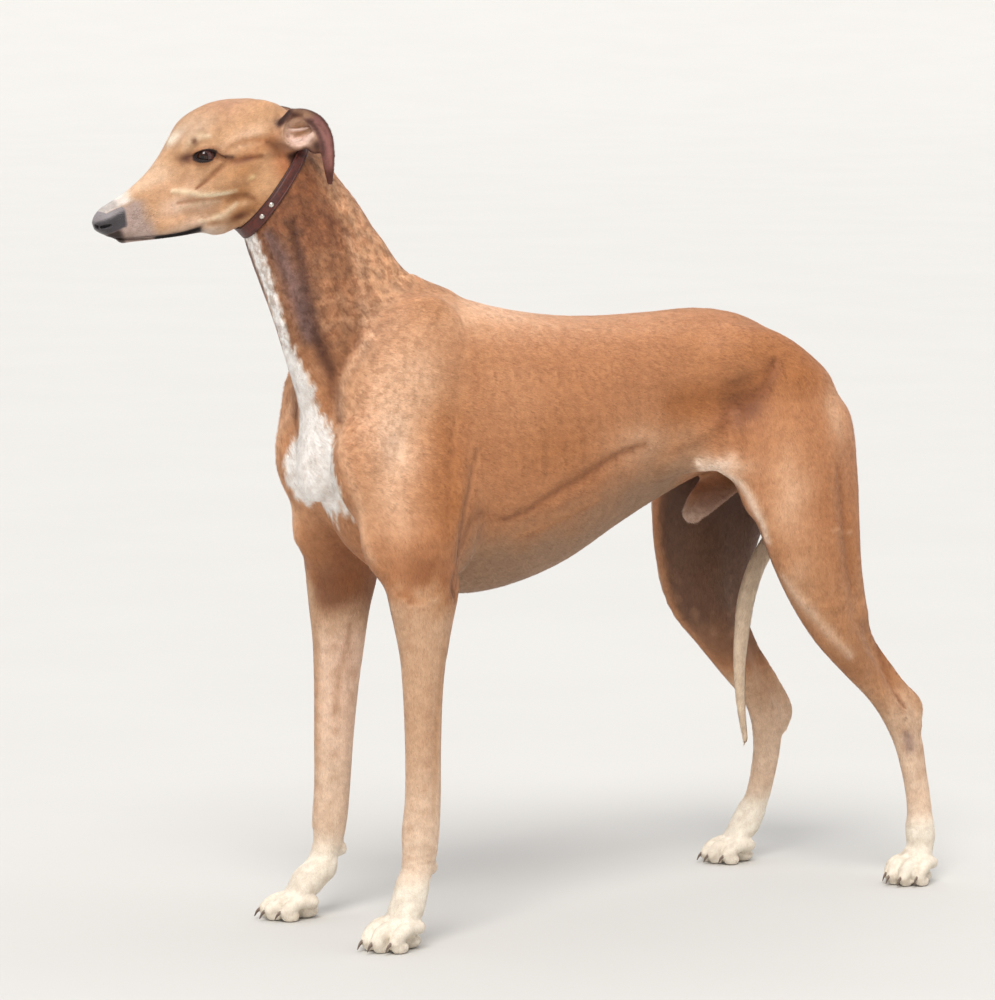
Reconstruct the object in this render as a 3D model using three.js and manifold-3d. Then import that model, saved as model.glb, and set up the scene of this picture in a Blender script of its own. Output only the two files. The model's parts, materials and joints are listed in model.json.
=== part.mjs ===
// A greyhound dog standing as if shown, life size. Millimetres, +Z up, nose towards -X, its left side towards -Y.
// The body is one smooth field of blended masses. Each named piece is a stretch of that field, turned into a
// mesh of its own fineness, thinned where it is flat, and parted from its neighbours by a thin cut.
import * as THREE from "three";
import Module from "manifold-3d";

const wasm = await Module();
wasm.setup();
const { Manifold, Mesh: Polyhedron } = wasm;

// Driving sizes
const seam = 0.3; // gap between two pieces that touch
const withers = 733; // top of the shoulders above the ground
const far = 60; // value of the field well outside the flesh
const left = -1; // side along Y
const right = 1;

// Smooth curves through a few knots
function curve(knots) {
  const last = knots.length - 1;
  const slope = knots.map((knot, i) => {
    const [x0, y0] = knots[Math.max(i - 1, 0)];
    const [x1, y1] = knots[Math.min(i + 1, last)];
    return (y1 - y0) / (x1 - x0);
  });
  return (x) => {
    const at = THREE.MathUtils.clamp(x, knots[0][0], knots[last][0]);
    let i = 0;
    while (i < last - 1 && at > knots[i + 1][0]) i++;
    const [x0, y0] = knots[i];
    const [x1, y1] = knots[i + 1];
    const span = x1 - x0;
    const t = (at - x0) / span;
    const rise = t * t * (3 - 2 * t);
    return (
      y0 + (y1 - y0) * rise +
      span * t * (1 - t) * (slope[i] * (1 - t) - slope[i + 1] * t)
    );
  };
}

// A curve kept as a table of one value a millimetre, because the field asks for it many times
function tabled(knots) {
  const value = curve(knots);
  const start = knots[0][0];
  const count = Math.ceil(knots[knots.length - 1][0] - start) + 1;
  const table = Float32Array.from({ length: count + 1 }, (_, i) => value(start + i));
  return (x) => {
    const at = THREE.MathUtils.clamp(x - start, 0, count - 1);
    const i = Math.floor(at);
    return table[i] + (table[i + 1] - table[i]) * (at - i);
  };
}

// Masses: each has a box that holds it and a function that gives the distance to its surface
function ellipsoid(centre, radii, turn = [0, 0, 0]) {
  const [cx, cy, cz] = centre;
  const [rx, ry, rz] = radii;
  const angles = turn.map((degrees) => THREE.MathUtils.degToRad(degrees));
  const matrix = new THREE.Matrix4().makeRotationFromEuler(new THREE.Euler(...angles));
  const e = matrix.elements;
  const reach = Math.max(rx, ry, rz);
  const box = new THREE.Box3().setFromCenterAndSize(
    new THREE.Vector3(cx, cy, cz),
    new THREE.Vector3(2 * reach, 2 * reach, 2 * reach),
  );
  const at = (x, y, z) => {
    const dx = x - cx;
    const dy = y - cy;
    const dz = z - cz;
    const u = (dx * e[0] + dy * e[1] + dz * e[2]) / rx;
    const v = (dx * e[4] + dy * e[5] + dz * e[6]) / ry;
    const w = (dx * e[8] + dy * e[9] + dz * e[10]) / rz;
    const size = Math.hypot(u, v, w);
    const steepness = Math.hypot(u / rx, v / ry, w / rz) || 1 / reach;
    return (size * (size - 1)) / steepness;
  };
  return { box, at };
}

// A limb follows a curve through stations [x, y, z, fore, aft, side]: the half thickness towards the front,
// towards the back and to each side, all square to the curve
function limb(stations, front = [-1, 0, 0], piecesPerStation = 4) {
  const spine = new THREE.CatmullRomCurve3(stations.map((s) => new THREE.Vector3(...s)), false, "centripetal");
  const gaps = stations.length - 1;
  const pieces = gaps * piecesPerStation;
  const radius = [3, 4, 5].map((column) => curve(stations.map((s, i) => [i, s[column]])));
  const forward = new THREE.Vector3(...front);
  const rings = [];
  const box = new THREE.Box3();
  for (let i = 0; i <= pieces; i++) {
    const t = i / pieces;
    const centre = spine.getPoint(t);
    const along = spine.getTangent(t);
    const fore = forward.clone().addScaledVector(along, -forward.dot(along)).normalize();
    const side = new THREE.Vector3().crossVectors(along, fore);
    const radii = radius.map((r) => r(t * gaps));
    rings.push([...centre.toArray(), ...fore.toArray(), ...side.toArray(), ...radii]);
    const reach = Math.max(...radii);
    box.union(new THREE.Box3().setFromCenterAndSize(centre, new THREE.Vector3(2, 2, 2).multiplyScalar(reach)));
  }
  const at = (x, y, z) => {
    let nearest = Infinity;
    let piece = 0;
    let share = 0;
    for (let i = 0; i < pieces; i++) {
      const a = rings[i];
      const b = rings[i + 1];
      const bx = b[0] - a[0];
      const by = b[1] - a[1];
      const bz = b[2] - a[2];
      const px = x - a[0];
      const py = y - a[1];
      const pz = z - a[2];
      const t = Math.min(Math.max((px * bx + py * by + pz * bz) / (bx * bx + by * by + bz * bz), 0), 1);
      const ex = px - t * bx;
      const ey = py - t * by;
      const ez = pz - t * bz;
      const gap = ex * ex + ey * ey + ez * ez;
      if (gap < nearest) {
        nearest = gap;
        piece = i;
        share = t;
      }
    }
    const a = rings[piece];
    const b = rings[piece + 1];
    const mix = (n) => a[n] + (b[n] - a[n]) * share;
    const px = x - mix(0);
    const py = y - mix(1);
    const pz = z - mix(2);
    const f = px * mix(3) + py * mix(4) + pz * mix(5);
    const s = px * mix(6) + py * mix(7) + pz * mix(8);
    const rest = Math.sqrt(Math.max(nearest - f * f - s * s, 0));
    const depth = f > 0 ? mix(9) : mix(10);
    const width = mix(11);
    const size = Math.hypot(f / depth, s / width, rest / Math.min(depth, width));
    const length = Math.hypot(f, s, rest);
    return size < 1e-6 ? -Math.min(depth, width) : length * (1 - 1 / size);
  };
  return { box, at };
}

// A barrel lies along X from `from` to `to`. Its top, bottom, half width and widest height are curves, and the
// powers say how square its upper and its lower half are
function barrel({ from, to, round, top, bottom, half, belt, upper, lower }) {
  const [topAt, bottomAt, halfAt, beltAt] = [top, bottom, half, belt].map(tabled);
  const widest = Math.max(...half.map((knot) => knot[1]));
  const box = new THREE.Box3(
    new THREE.Vector3(from, -widest, Math.min(...bottom.map((knot) => knot[1]))),
    new THREE.Vector3(to, widest, Math.max(...top.map((knot) => knot[1]))),
  );
  const at = (x, y, z) => {
    const beyond = Math.max(from + round - x, x - to + round, 0);
    const middle = beltAt(x);
    const high = z > middle;
    const height = high ? topAt(x) - middle : middle - bottomAt(x);
    const power = high ? upper : lower;
    const v = Math.abs(z - middle) / height;
    const s = Math.abs(y) / halfAt(x);
    const ring = Math.pow(Math.pow(v, power) + Math.pow(s, power), 1 / power);
    const size = Math.hypot(ring, beyond / round);
    const length = Math.hypot(z - middle, y, beyond);
    return size < 1e-6 ? -Math.min(height, halfAt(x)) : length * (1 - 1 / size);
  };
  return { box, at };
}

// The same mass in a frame of its own
function placed(matrix, mass) {
  const e = matrix.clone().invert().elements;
  return {
    box: mass.box.clone().applyMatrix4(matrix),
    at: (x, y, z) =>
      mass.at(
        e[0] * x + e[4] * y + e[8] * z + e[12],
        e[1] * x + e[5] * y + e[9] * z + e[13],
        e[2] * x + e[6] * y + e[10] * z + e[14],
      ),
  };
}

// A body of flesh: masses joined, or carved out, one after another, each with its own softness
class Flesh {
  constructor(frame = new THREE.Matrix4()) {
    this.masses = [];
    this.frame = frame;
  }

  join(mass, blend) {
    this.masses.push({ ...placed(this.frame, mass), blend, hollow: false });
    return this;
  }

  carve(mass, blend) {
    this.masses.push({ ...placed(this.frame, mass), blend, hollow: true });
    return this;
  }

  take(other) {
    this.masses.push(...other.masses);
    return this;
  }
}

function frameOf(origin, forward, up) {
  const x = new THREE.Vector3(...forward).normalize();
  const y = new THREE.Vector3(...up).cross(x).normalize();
  const z = new THREE.Vector3().crossVectors(x, y);
  return new THREE.Matrix4().makeBasis(x, y, z).setPosition(...origin);
}

// Trunk: rib cage, loin and croup, then shoulders, chest, belly and haunches
function trunk() {
  const flesh = new Flesh();
  flesh.join(
    barrel({
      from: -42, to: 664, round: 60, upper: 2.15, lower: 1.95,
      top: [[-42, 640], [0, 690], [50, 722], [90, withers], [140, 723], [200, 707], [270, 695], [340, 690],
        [420, 691], [490, 693], [550, 683], [590, 658], [625, 614], [664, 560]],
      bottom: [[-42, 510], [0, 450], [50, 408], [100, 386], [160, 378], [220, 384], [290, 405], [360, 440],
        [420, 468], [480, 492], [540, 508], [600, 512], [664, 505]],
      half: [[-42, 48], [0, 64], [60, 76], [120, 88], [190, 96], [250, 97], [310, 91], [370, 80], [430, 70],
        [490, 64], [550, 62], [610, 56], [664, 40]],
      belt: [[-42, 565], [0, 565], [60, 560], [160, 565], [260, 575], [360, 590], [460, 605], [560, 590],
        [664, 540]],
    }),
    1,
  );
  flesh.join(ellipsoid([-26, 0, 540], [26, 30, 46], [0, 18, 0]), 26);
  for (const side of [left, right]) {
    const ahead = side === left ? 0 : 18;
    flesh.join(ellipsoid([52 + ahead / 2, side * 58, 628], [62, 28, 104], [side * 6, 24, 0]), 26);
    flesh.join(ellipsoid([-14 + ahead / 3, side * 66, 534], [34, 30, 54], [0, -10, 0]), 26);
    flesh.join(ellipsoid([36 + ahead / 2, side * 80, 480], [56, 32, 74], [0, 28, 0]), 24);
    flesh.join(ellipsoid([80, side * 76, 492], [44, 26, 84], [0, -16, 0]), 30);
    flesh.join(ellipsoid([552, side * 56, 616], [84, 31, 48], [0, 20, 0]), 36);
    flesh.join(ellipsoid([640, side * 48, 548], [34, 32, 60], [0, -25, 0]), 30);
    flesh.join(limb([[386, side * 48, 538, 12, 12, 10], [436, side * 54, 546, 18, 18, 12],
      [484, side * 62, 550, 22, 22, 14], [522, side * 72, 544, 20, 20, 14]], [0, 0, 1]), 22);
    flesh.join(limb([[392, side * 48, 512, 12, 12, 8], [436, side * 59, 517, 12, 12, 8],
      [474, side * 67, 518, 12, 12, 9], [505, side * 74, 500, 14, 14, 12], [518, side * 80, 470, 12, 12, 12]],
    [0, 0, 1]), 18);
  }
  flesh.join(ellipsoid([-8, 62, 598], [30, 26, 58]), 24);
  flesh.join(limb([[610, 0, 606, 20, 20, 20], [648, 0, 570, 18, 20, 18], [673, 0, 536, 17, 17, 15],
    [681, 0, 505, 14, 15, 13]]), 30);
  flesh.join(limb([[554, 0, 498, 20, 22, 18], [518, 0, 477, 20, 21, 17], [495, 0, 460, 17, 18, 15],
    [484, 0, 450, 13, 13, 12]], [0, 0, -1]), 20);
  return flesh;
}

// Neck, from inside the shoulders to the skull, turned a little to the dog's right
function neck() {
  return new Flesh().join(
    limb([
      [66, 0, 590, 98, 84, 60],
      [22, 2, 655, 88, 86, 56],
      [-10, 9, 710, 72, 93, 49],
      [-33, 21, 762, 60, 97, 45],
      [-50, 34, 812, 52, 89, 41],
      [-60, 45, 858, 46, 69, 38],
    ]),
    30,
  ).join(
    limb([
      [-70, 60, 850, 24, 28, 34],
      [-70, 50, 815, 26, 28, 35],
      [-58, 36, 770, 28, 28, 34],
      [-42, 20, 720, 28, 28, 30],
    ]),
    14,
  ).join(
    limb([
      [48, 12, 772, 10, 10, 14],
      [72, 9, 745, 11, 11, 18],
      [97, 5, 729, 11, 11, 18],
      [128, 0, 716, 9, 9, 14],
    ]),
    26,
  );
}

// Head frame: X to the nose, Y to the dog's left, Z up, origin behind the occiput
const headYaw = THREE.MathUtils.degToRad(16);
const headPitch = THREE.MathUtils.degToRad(24);
const headForward = [
  -Math.cos(headYaw) * Math.cos(headPitch),
  Math.sin(headYaw) * Math.cos(headPitch),
  -Math.sin(headPitch),
];
const headFrame = frameOf([-30, 45, 905], headForward, [0, 0, 1]);
const headLength = 256;
const eyeRadius = 11;
const eyeSpot = (s) => [112, s * 25, 27];

function head() {
  const flesh = new Flesh(headFrame);
  flesh.join(
    barrel({
      from: -4, to: headLength - 4, round: 16, upper: 2.2, lower: 2.3,
      top: [[-4, 34], [20, 51], [45, 65], [70, 73.5], [95, 75.5], [118, 71.5], [136, 60], [152, 47.5], [175, 35],
        [205, 25.5], [235, 21], [252, 17.5]],
      bottom: [[-4, -20], [20, -34], [45, -48], [70, -61], [92, -67], [120, -58], [150, -46], [185, -35],
        [215, -26], [240, -16], [252, -9]],
      half: [[-4, 28], [20, 36], [45, 41], [75, 42], [100, 39], [122, 33], [145, 27.5], [175, 23.5],
        [205, 20.5], [235, 17], [252, 14]],
      belt: [[-4, 8], [45, 14], [95, 10], [140, 2], [180, -4], [220, -5], [252, 2]],
    }),
    1,
  );
  for (const s of [-1, 1]) {
    flesh.join(ellipsoid([60, s * 24, 34], [44, 19, 27], [0, 10, 0]), 14);
    flesh.join(ellipsoid([68, s * 33, -18], [34, 13, 34], [0, 0, s * 6]), 12);
    flesh.join(ellipsoid([104, s * 22, -42], [40, 14, 17], [0, 17, s * -10]), 14);
    flesh.join(limb([[154, s * 22, -2, 5, 5, 5], [128, s * 29, -8, 7, 7, 6], [98, s * 37.5, -6, 8, 8, 7],
      [68, s * 40.5, 2, 8, 8, 7.5], [44, s * 36, 10, 7, 7, 7]], [0, 0, 1]), 12);
    // Brow, the lids around the eye, and the opening between them
    flesh.join(ellipsoid([122, s * 24, 48], [22, 10, 10], [0, 26, 0]), 9);
    flesh.join(ellipsoid(eyeSpot(s), [17, 13.5, 13], [0, 14, s * 24]), 5);
    flesh.carve(limb([[131, s * 34, 33.5, 1, 1, 5], [122, s * 36, 32, 4.4, 4, 8], [112, s * 38, 28, 6, 5.2, 9],
      [103, s * 40, 22, 4.4, 4, 7.5], [96, s * 41, 17, 1, 1, 4]], [0, 0, 1]), 1.2);
    flesh.join(ellipsoid([118, s * 28.5, 46], [3.2, 3, 2.8]), 1.5);
    // Lips: the upper hangs over the lower, with the line of the mouth between
    flesh.join(limb([[238, s * 8, -7.5, 7, 6, 6], [216, s * 13.5, -17, 8, 8, 6.5], [188, s * 17, -25.5, 8, 9, 6.5],
      [162, s * 20.5, -33.5, 7, 8, 6], [146, s * 24, -37, 4, 4, 4]], [0, 0, 1]), 7);
    flesh.join(limb([[230, s * 3, -20, 5, 4, 6], [210, s * 8, -27, 5, 4, 7], [180, s * 12.5, -36, 6, 5, 7],
      [150, s * 17, -44.5, 6, 5, 7], [126, s * 21, -51, 6, 5, 6]], [0, 0, 1]), 9);
    flesh.carve(limb([[243, s * 4, -14, 1.3, 1.3, 3], [232, s * 10.5, -19.5, 1.4, 1.4, 3], [212, s * 15.5, -28, 1.4, 1.4, 3],
      [188, s * 19, -36.5, 1.4, 1.4, 3], [166, s * 22.5, -42, 1.5, 1.5, 3], [150, s * 26, -44, 1.2, 1.2, 3]],
    [0, 0, 1]), 1.5);
  }
  return flesh;
}

// Leather of the nose, with its two nostrils and the groove between them
function noseLeather() {
  const flesh = new Flesh(headFrame);
  flesh.join(ellipsoid([238, 0, 5], [17, 15.5, 14.5]), 4);
  for (const s of [-1, 1]) {
    flesh.join(ellipsoid([241, s * 8.5, 4], [13, 8.5, 10]), 5);
    flesh.carve(limb([[252, s * 7, 5, 2.6, 2.6, 3.5], [247, s * 12, 3, 2.2, 2.2, 3.5], [240, s * 16.5, 1, 1, 1, 3]],
      [0, 0, 1]), 1.5);
  }
  flesh.carve(limb([[258, 0, 8, 1, 1, 2], [257, 0, -2, 1, 1, 2], [252, 0, -9, 1, 1, 2]], [0, 1, 0]), 1);
  return flesh;
}

// Ears folded back in a rose, the cup open to the side and the flap falling behind it
function ears() {
  const flesh = new Flesh(headFrame);
  for (const s of [-1, 1]) {
    flesh.join(ellipsoid([7, s * 37, 9], [25, 14, 21.5], [0, -12, s * 14]), 8);
    flesh.carve(ellipsoid([7, s * 50, 10], [20, 15, 16.5], [0, -12, s * 14]), 2);
    flesh.join(limb([[20, s * 41, 27, 3, 3, 4], [6, s * 44, 31, 4, 4, 6], [-6, s * 45.5, 26, 7, 5, 6],
      [-15, s * 45.5, 12, 10, 8, 4.8], [-18, s * 46, -5, 10, 8, 4], [-14.5, s * 46.5, -22, 9, 7.5, 3.6],
      [-8, s * 46.5, -40, 7, 6, 3.3], [-1, s * 47, -57, 3.2, 3, 2.6]], [1, 0, 0], 6), 3);
    flesh.join(ellipsoid([-5, s * 44, -10], [12, 3.2, 13], [0, 0, s * -8]), 3);
    flesh.carve(limb([[-10, s * 52.5, 12, 4, 2, 3], [-14, s * 52.5, -6, 6, 3, 4], [-13, s * 52.5, -24, 5.5, 3, 3.8],
      [-8, s * 52, -42, 3.5, 2, 3]], [1, 0, 0]), 3);
    flesh.join(limb([[20, s * 38, 18, 2, 2, 3], [8, s * 37, 11, 2, 2, 4], [-6, s * 37, 8, 2, 2, 4]], [0, 0, 1]), 2);
    flesh.join(limb([[22, s * 38, 4, 2, 2, 3], [10, s * 37, 0, 2, 2, 4], [-4, s * 37, -1, 2, 2, 4]], [0, 0, 1]), 2);
  }
  return flesh;
}

// Fore leg from the upper arm to the pastern
function foreLeg(side, stations, back) {
  return new Flesh()
    .join(limb(stations.map(([x, y, z, ...radii]) => [x, side * y, z, ...radii])), 18)
    .join(limb([
      [back[0] - 12, side * 90, back[1] + 34, 14, 14, 13],
      [back[0] - 6, side * 93, back[1] + 4, 13, 13, 13],
      [back[0] - 16, side * 97, back[1] - 26, 11, 13, 13],
      [back[0] - 27, side * 99, back[1] - 62, 10, 10, 12],
    ]), 12)
    .join(ellipsoid([back[2], side * 105, back[3]], [8, 8, 9]), 5);
}

const leftForeLeg = foreLeg(left, [
  [42, 88, 450, 46, 46, 34],
  [41, 94, 405, 40, 44, 32],
  [41, 98, 365, 33, 36, 27],
  [41, 101, 328, 27, 30, 23],
  [40, 103, 286, 23.5, 25, 20],
  [39, 104, 226, 21, 23.5, 17.5],
  [38, 105, 166, 21, 23.5, 17],
  [36, 105, 128, 23, 22.5, 19.5],
  [33, 105, 102, 19.5, 22, 17.5],
  [26, 106, 72, 16.5, 17.5, 17],
  [17, 107, 46, 18, 17, 20],
], [86, 396, 50, 88]);

const rightForeLeg = foreLeg(right, [
  [52, 88, 450, 46, 46, 34],
  [55, 94, 400, 44, 44, 32],
  [56, 97, 360, 39.5, 37, 28],
  [56, 99, 321, 34, 32, 25],
  [54, 101, 270, 29.5, 27, 22],
  [51, 103, 205, 26, 24, 19],
  [49, 105, 150, 23, 23, 17.5],
  [46, 106, 114, 21.5, 22, 19.5],
  [42, 107, 86, 15.5, 20, 17.5],
  [33, 108, 62, 11.5, 17, 17],
  [19, 109, 40, 12, 16, 19],
], [92, 392, 60, 76]);

// Hind leg from the hip to the hock and down to the toes
function hindLeg(side, bones, hamstring, tendon) {
  const mirrored = (rows) => rows.map(([x, y, z, ...radii]) => [x, side * y, z, ...radii]);
  return new Flesh()
    .join(limb(mirrored(bones)), 22)
    .join(limb(mirrored(hamstring)), 18)
    .join(limb(mirrored(tendon)), 11);
}

const leftHindLeg = hindLeg(
  left,
  [
    [566, 62, 596, 62, 66, 36],
    [568, 74, 545, 72, 76, 40],
    [572, 82, 500, 70, 72, 39],
    [578, 87, 455, 62, 62, 35],
    [585, 92, 408, 50, 52, 32],
    [599, 95, 362, 40, 42, 29],
    [622, 97, 314, 30, 32, 24],
    [653, 99, 270, 20, 23, 19],
    [686, 100, 234, 16, 17, 15],
    [713, 102, 203, 19, 21, 16.5],
    [728, 103, 172, 18, 20, 15],
    [737, 105, 134, 16, 17, 13.5],
    [743, 107, 97, 15.5, 16.5, 13.5],
    [744, 110, 58, 16, 16.5, 16],
  ],
  [
    [630, 66, 554, 32, 30, 25],
    [636, 76, 500, 34, 30, 24],
    [636, 84, 440, 30, 28, 23],
    [640, 90, 385, 24, 24, 20],
    [654, 95, 330, 14, 16, 15],
  ],
  [
    [650, 96, 330, 16, 13, 12],
    [685, 98, 280, 14, 8, 6],
    [718, 101, 240, 14, 7, 5],
    [741, 102, 213, 14, 9, 9],
    [738, 103, 192, 10, 9, 10],
  ],
);

const rightHindLeg = hindLeg(
  right,
  [
    [562, 62, 596, 62, 62, 36],
    [562, 74, 545, 68, 74, 40],
    [560, 82, 495, 68, 74, 39],
    [558, 88, 445, 66, 74, 35],
    [560, 93, 395, 60, 68, 32],
    [568, 97, 345, 50, 49, 29],
    [594, 100, 296, 35, 31, 24],
    [622, 102, 250, 23, 23, 19],
    [650, 103, 212, 17, 19, 15],
    [670, 104, 180, 19, 21, 16.5],
    [674, 105, 150, 18, 20, 15],
    [671, 107, 112, 16, 17, 13.5],
    [663, 111, 76, 15.5, 16.5, 13.5],
    [652, 116, 46, 16, 16.5, 16],
  ],
  [
    [622, 66, 546, 32, 30, 25],
    [622, 76, 490, 34, 32, 24],
    [620, 84, 430, 30, 30, 23],
    [614, 92, 375, 24, 22, 20],
    [618, 98, 326, 14, 14, 14],
  ],
  [
    [616, 98, 318, 18, 11, 12],
    [650, 100, 264, 18, 8, 6],
    [682, 102, 222, 18, 7, 5],
    [701, 103, 184, 16, 9, 9],
    [695, 104, 166, 12, 9, 10],
  ],
);

// Paw frame: X to the toes, Y to the dog's left, Z up, origin on the ground under the large pad
const toes = [
  { reach: 29, spread: 24, thick: 8.6 },
  { reach: 43, spread: 9, thick: 9.4 },
  { reach: 43, spread: -9, thick: 9.4 },
  { reach: 29, spread: -24, thick: 8.6 },
];

function pawFrame(x, y, toeOut, size) {
  const turn = THREE.MathUtils.degToRad(toeOut);
  const forward = [-Math.cos(turn), Math.sign(y) * Math.sin(turn), 0];
  return frameOf([x, y, 0], forward, [0, 0, 1]).scale(new THREE.Vector3(size, size, size));
}

function paw(frame, root, height) {
  const flesh = new Flesh(frame);
  flesh.join(limb([root, [-10, 0, 46, 15, 17, 18], [0, 0, 31, 13, 16, 23], [10, 0, 21, 11, 14, 24]], [1, 0, 0]), 10);
  for (const { reach, spread, thick } of toes) {
    const knuckle = reach - 20;
    flesh.join(limb([
      [knuckle - 22, spread * 0.7, height - 1, thick, thick, thick * 0.95],
      [knuckle - 4, spread * 0.9, height, thick, thick, thick],
      [knuckle + 8, spread, height - 5, thick, thick, thick],
      [knuckle + 15, spread, 12.5, thick * 0.85, thick * 0.9, thick * 0.85],
    ], [1, 0, 0]), 3.5);
    flesh.join(ellipsoid([knuckle + 8, spread, 6.5], [11, 7.4, 8]), 3);
  }
  flesh.join(ellipsoid([-9, 0, 8], [17, 17, 9.5]), 5);
  return flesh;
}

const feet = {
  left_front: { frame: pawFrame(6, -108, 4, 1), root: [-15, 0, 68, 15, 18, 17], height: 26, leg: leftForeLeg },
  right_front: { frame: pawFrame(4, 109, 12, 0.96), root: [-32, 0, 60, 12, 18, 17], height: 22, leg: rightForeLeg },
  left_hind: { frame: pawFrame(735, -112, 16, 0.92), root: [-9, 0, 72, 15, 17, 16], height: 27, leg: leftHindLeg },
  right_hind: { frame: pawFrame(637, 120, 8, 0.92), root: [-22, 0, 66, 15, 17, 16], height: 24, leg: rightHindLeg },
};

const tail = new Flesh().join(limb([
  [664, 0, 560, 15, 16, 14],
  [680, 0, 520, 14, 15, 13],
  [674, 4, 478, 13, 13.5, 12.5],
  [650, 14, 444, 12.5, 12.5, 12],
  [620, 22, 410, 11.8, 11.8, 11.5],
  [601, 27, 380, 11.4, 11.4, 11],
  [587, 30, 340, 11.2, 11.2, 10.8],
  [581, 31, 300, 10, 10, 9.6],
  [578.5, 32, 264, 8.4, 8.4, 8.2],
  [579, 32, 232, 7, 7, 6.8],
  [582, 32, 200, 5.8, 5.8, 5.6],
  [588, 32, 166, 3.6, 3.6, 3.6],
]), 6);

const body = new Flesh().take(trunk()).take(neck()).take(head()).take(tail);
for (const foot of Object.values(feet)) body.take(foot.leg).take(paw(foot.frame, foot.root, foot.height));
const eared = new Flesh().take(trunk()).take(neck()).take(head()).take(ears());

// Value of the field at one point, from the masses whose boxes come near it
function valueAt(masses, x, y, z) {
  let value = far;
  for (const { box, at, blend, hollow } of masses) {
    const margin = blend + 12;
    if (x < box.min.x - margin || x > box.max.x + margin) continue;
    if (y < box.min.y - margin || y > box.max.y + margin) continue;
    if (z < box.min.z - margin || z > box.max.z + margin) continue;
    value = blended(value, at(x, y, z), blend, hollow);
  }
  return value;
}

function blended(value, mass, blend, hollow) {
  const was = hollow ? -value : value;
  const soft = Math.max(blend - Math.abs(was - mass), 0);
  const both = Math.min(was, mass) - (soft * soft) / (4 * blend);
  return hollow ? -both : both;
}

// Values of the field on a grid of points, none of them too close to zero, so that no sliver is made
function sampled(masses, box, cell) {
  const size = box.getSize(new THREE.Vector3());
  const counts = size.toArray().map((length) => Math.ceil(length / cell) + 1);
  const [nx, ny, nz] = counts;
  const origin = box.min.toArray();
  const value = new Float32Array(nx * ny * nz).fill(far);
  for (const { box: reach, at, blend, hollow } of masses) {
    const margin = blend + 2 * cell;
    const low = reach.min.toArray().map((v, k) => Math.max(0, Math.floor((v - margin - origin[k]) / cell)));
    const high = reach.max.toArray().map((v, k) => Math.min(counts[k] - 1, Math.ceil((v + margin - origin[k]) / cell)));
    for (let k = low[2]; k <= high[2]; k++) {
      for (let j = low[1]; j <= high[1]; j++) {
        for (let i = low[0]; i <= high[0]; i++) {
          const n = (k * ny + j) * nx + i;
          value[n] = blended(value[n], at(origin[0] + i * cell, origin[1] + j * cell, origin[2] + k * cell), blend, hollow);
        }
      }
    }
  }
  const least = 0.22 * cell;
  for (let k = 0; k < nz; k++) {
    for (let j = 0; j < ny; j++) {
      for (let i = 0; i < nx; i++) {
        const n = (k * ny + j) * nx + i;
        const edge = i === 0 || j === 0 || k === 0 || i === nx - 1 || j === ny - 1 || k === nz - 1;
        if (edge) value[n] = Math.max(value[n], cell / 2);
        if (Math.abs(value[n]) < least) value[n] = value[n] < 0 ? -least : least;
      }
    }
  }
  return { value, counts, origin };
}

// The surface of the field: each cube of the grid is six tetrahedra, and each of those holds one or two triangles
const tetrahedra = [[0, 1, 3, 7], [0, 5, 1, 7], [0, 3, 2, 7], [0, 2, 6, 7], [0, 4, 5, 7], [0, 6, 4, 7]];

function surface(masses, box, cell) {
  const { value, counts, origin } = sampled(masses, box, cell);
  const [nx, ny, nz] = counts;
  const total = nx * ny * nz;
  const corner = Array.from({ length: 8 }, (_, c) => (c & 1) + ((c >> 1) & 1) * nx + (c >> 2) * nx * ny);
  const points = [];
  const faces = [];
  const made = new Map();
  const place = (n) => [n % nx, Math.floor(n / nx) % ny, Math.floor(n / (nx * ny))];
  const crossing = (p, q) => {
    const key = Math.min(p, q) * total + Math.max(p, q);
    let found = made.get(key);
    if (found === undefined) {
      found = points.length / 3;
      made.set(key, found);
      const share = THREE.MathUtils.clamp(value[p] / (value[p] - value[q]), 0.2, 0.8);
      const a = place(p);
      const b = place(q);
      for (let k = 0; k < 3; k++) points.push(origin[k] + cell * (a[k] + (b[k] - a[k]) * share));
    }
    return found;
  };
  for (let k = 0; k < nz - 1; k++) {
    for (let j = 0; j < ny - 1; j++) {
      for (let i = 0; i < nx - 1; i++) {
        const base = (k * ny + j) * nx + i;
        let within = 0;
        for (let c = 0; c < 8; c++) if (value[base + corner[c]] < 0) within++;
        if (within === 0 || within === 8) continue;
        for (const tetrahedron of tetrahedra) {
          const order = [];
          for (const c of tetrahedron) if (value[base + corner[c]] < 0) order.push(c);
          const inner = order.length;
          if (inner === 0 || inner === 4) continue;
          for (const c of tetrahedron) if (value[base + corner[c]] >= 0) order.push(c);
          // An even order of the four corners keeps the triangle facing out, and an odd one turns it round
          let odd = false;
          const rank = order.map((c) => tetrahedron.indexOf(c));
          for (let a = 0; a < 4; a++) for (let b = a + 1; b < 4; b++) if (rank[a] > rank[b]) odd = !odd;
          const cut = (a, b) => crossing(base + corner[order[a]], base + corner[order[b]]);
          const add = (a, b, c) => (odd ? faces.push(a, c, b) : faces.push(a, b, c));
          if (inner === 1) {
            add(cut(0, 1), cut(0, 2), cut(0, 3));
          } else if (inner === 3) {
            add(cut(0, 3), cut(1, 3), cut(2, 3));
          } else {
            const [a, b, c, d] = [cut(0, 2), cut(0, 3), cut(1, 3), cut(1, 2)];
            add(a, b, c);
            add(a, c, d);
          }
        }
      }
    }
  }
  settle(points, masses, box, cell);
  return { points, faces };
}

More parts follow.
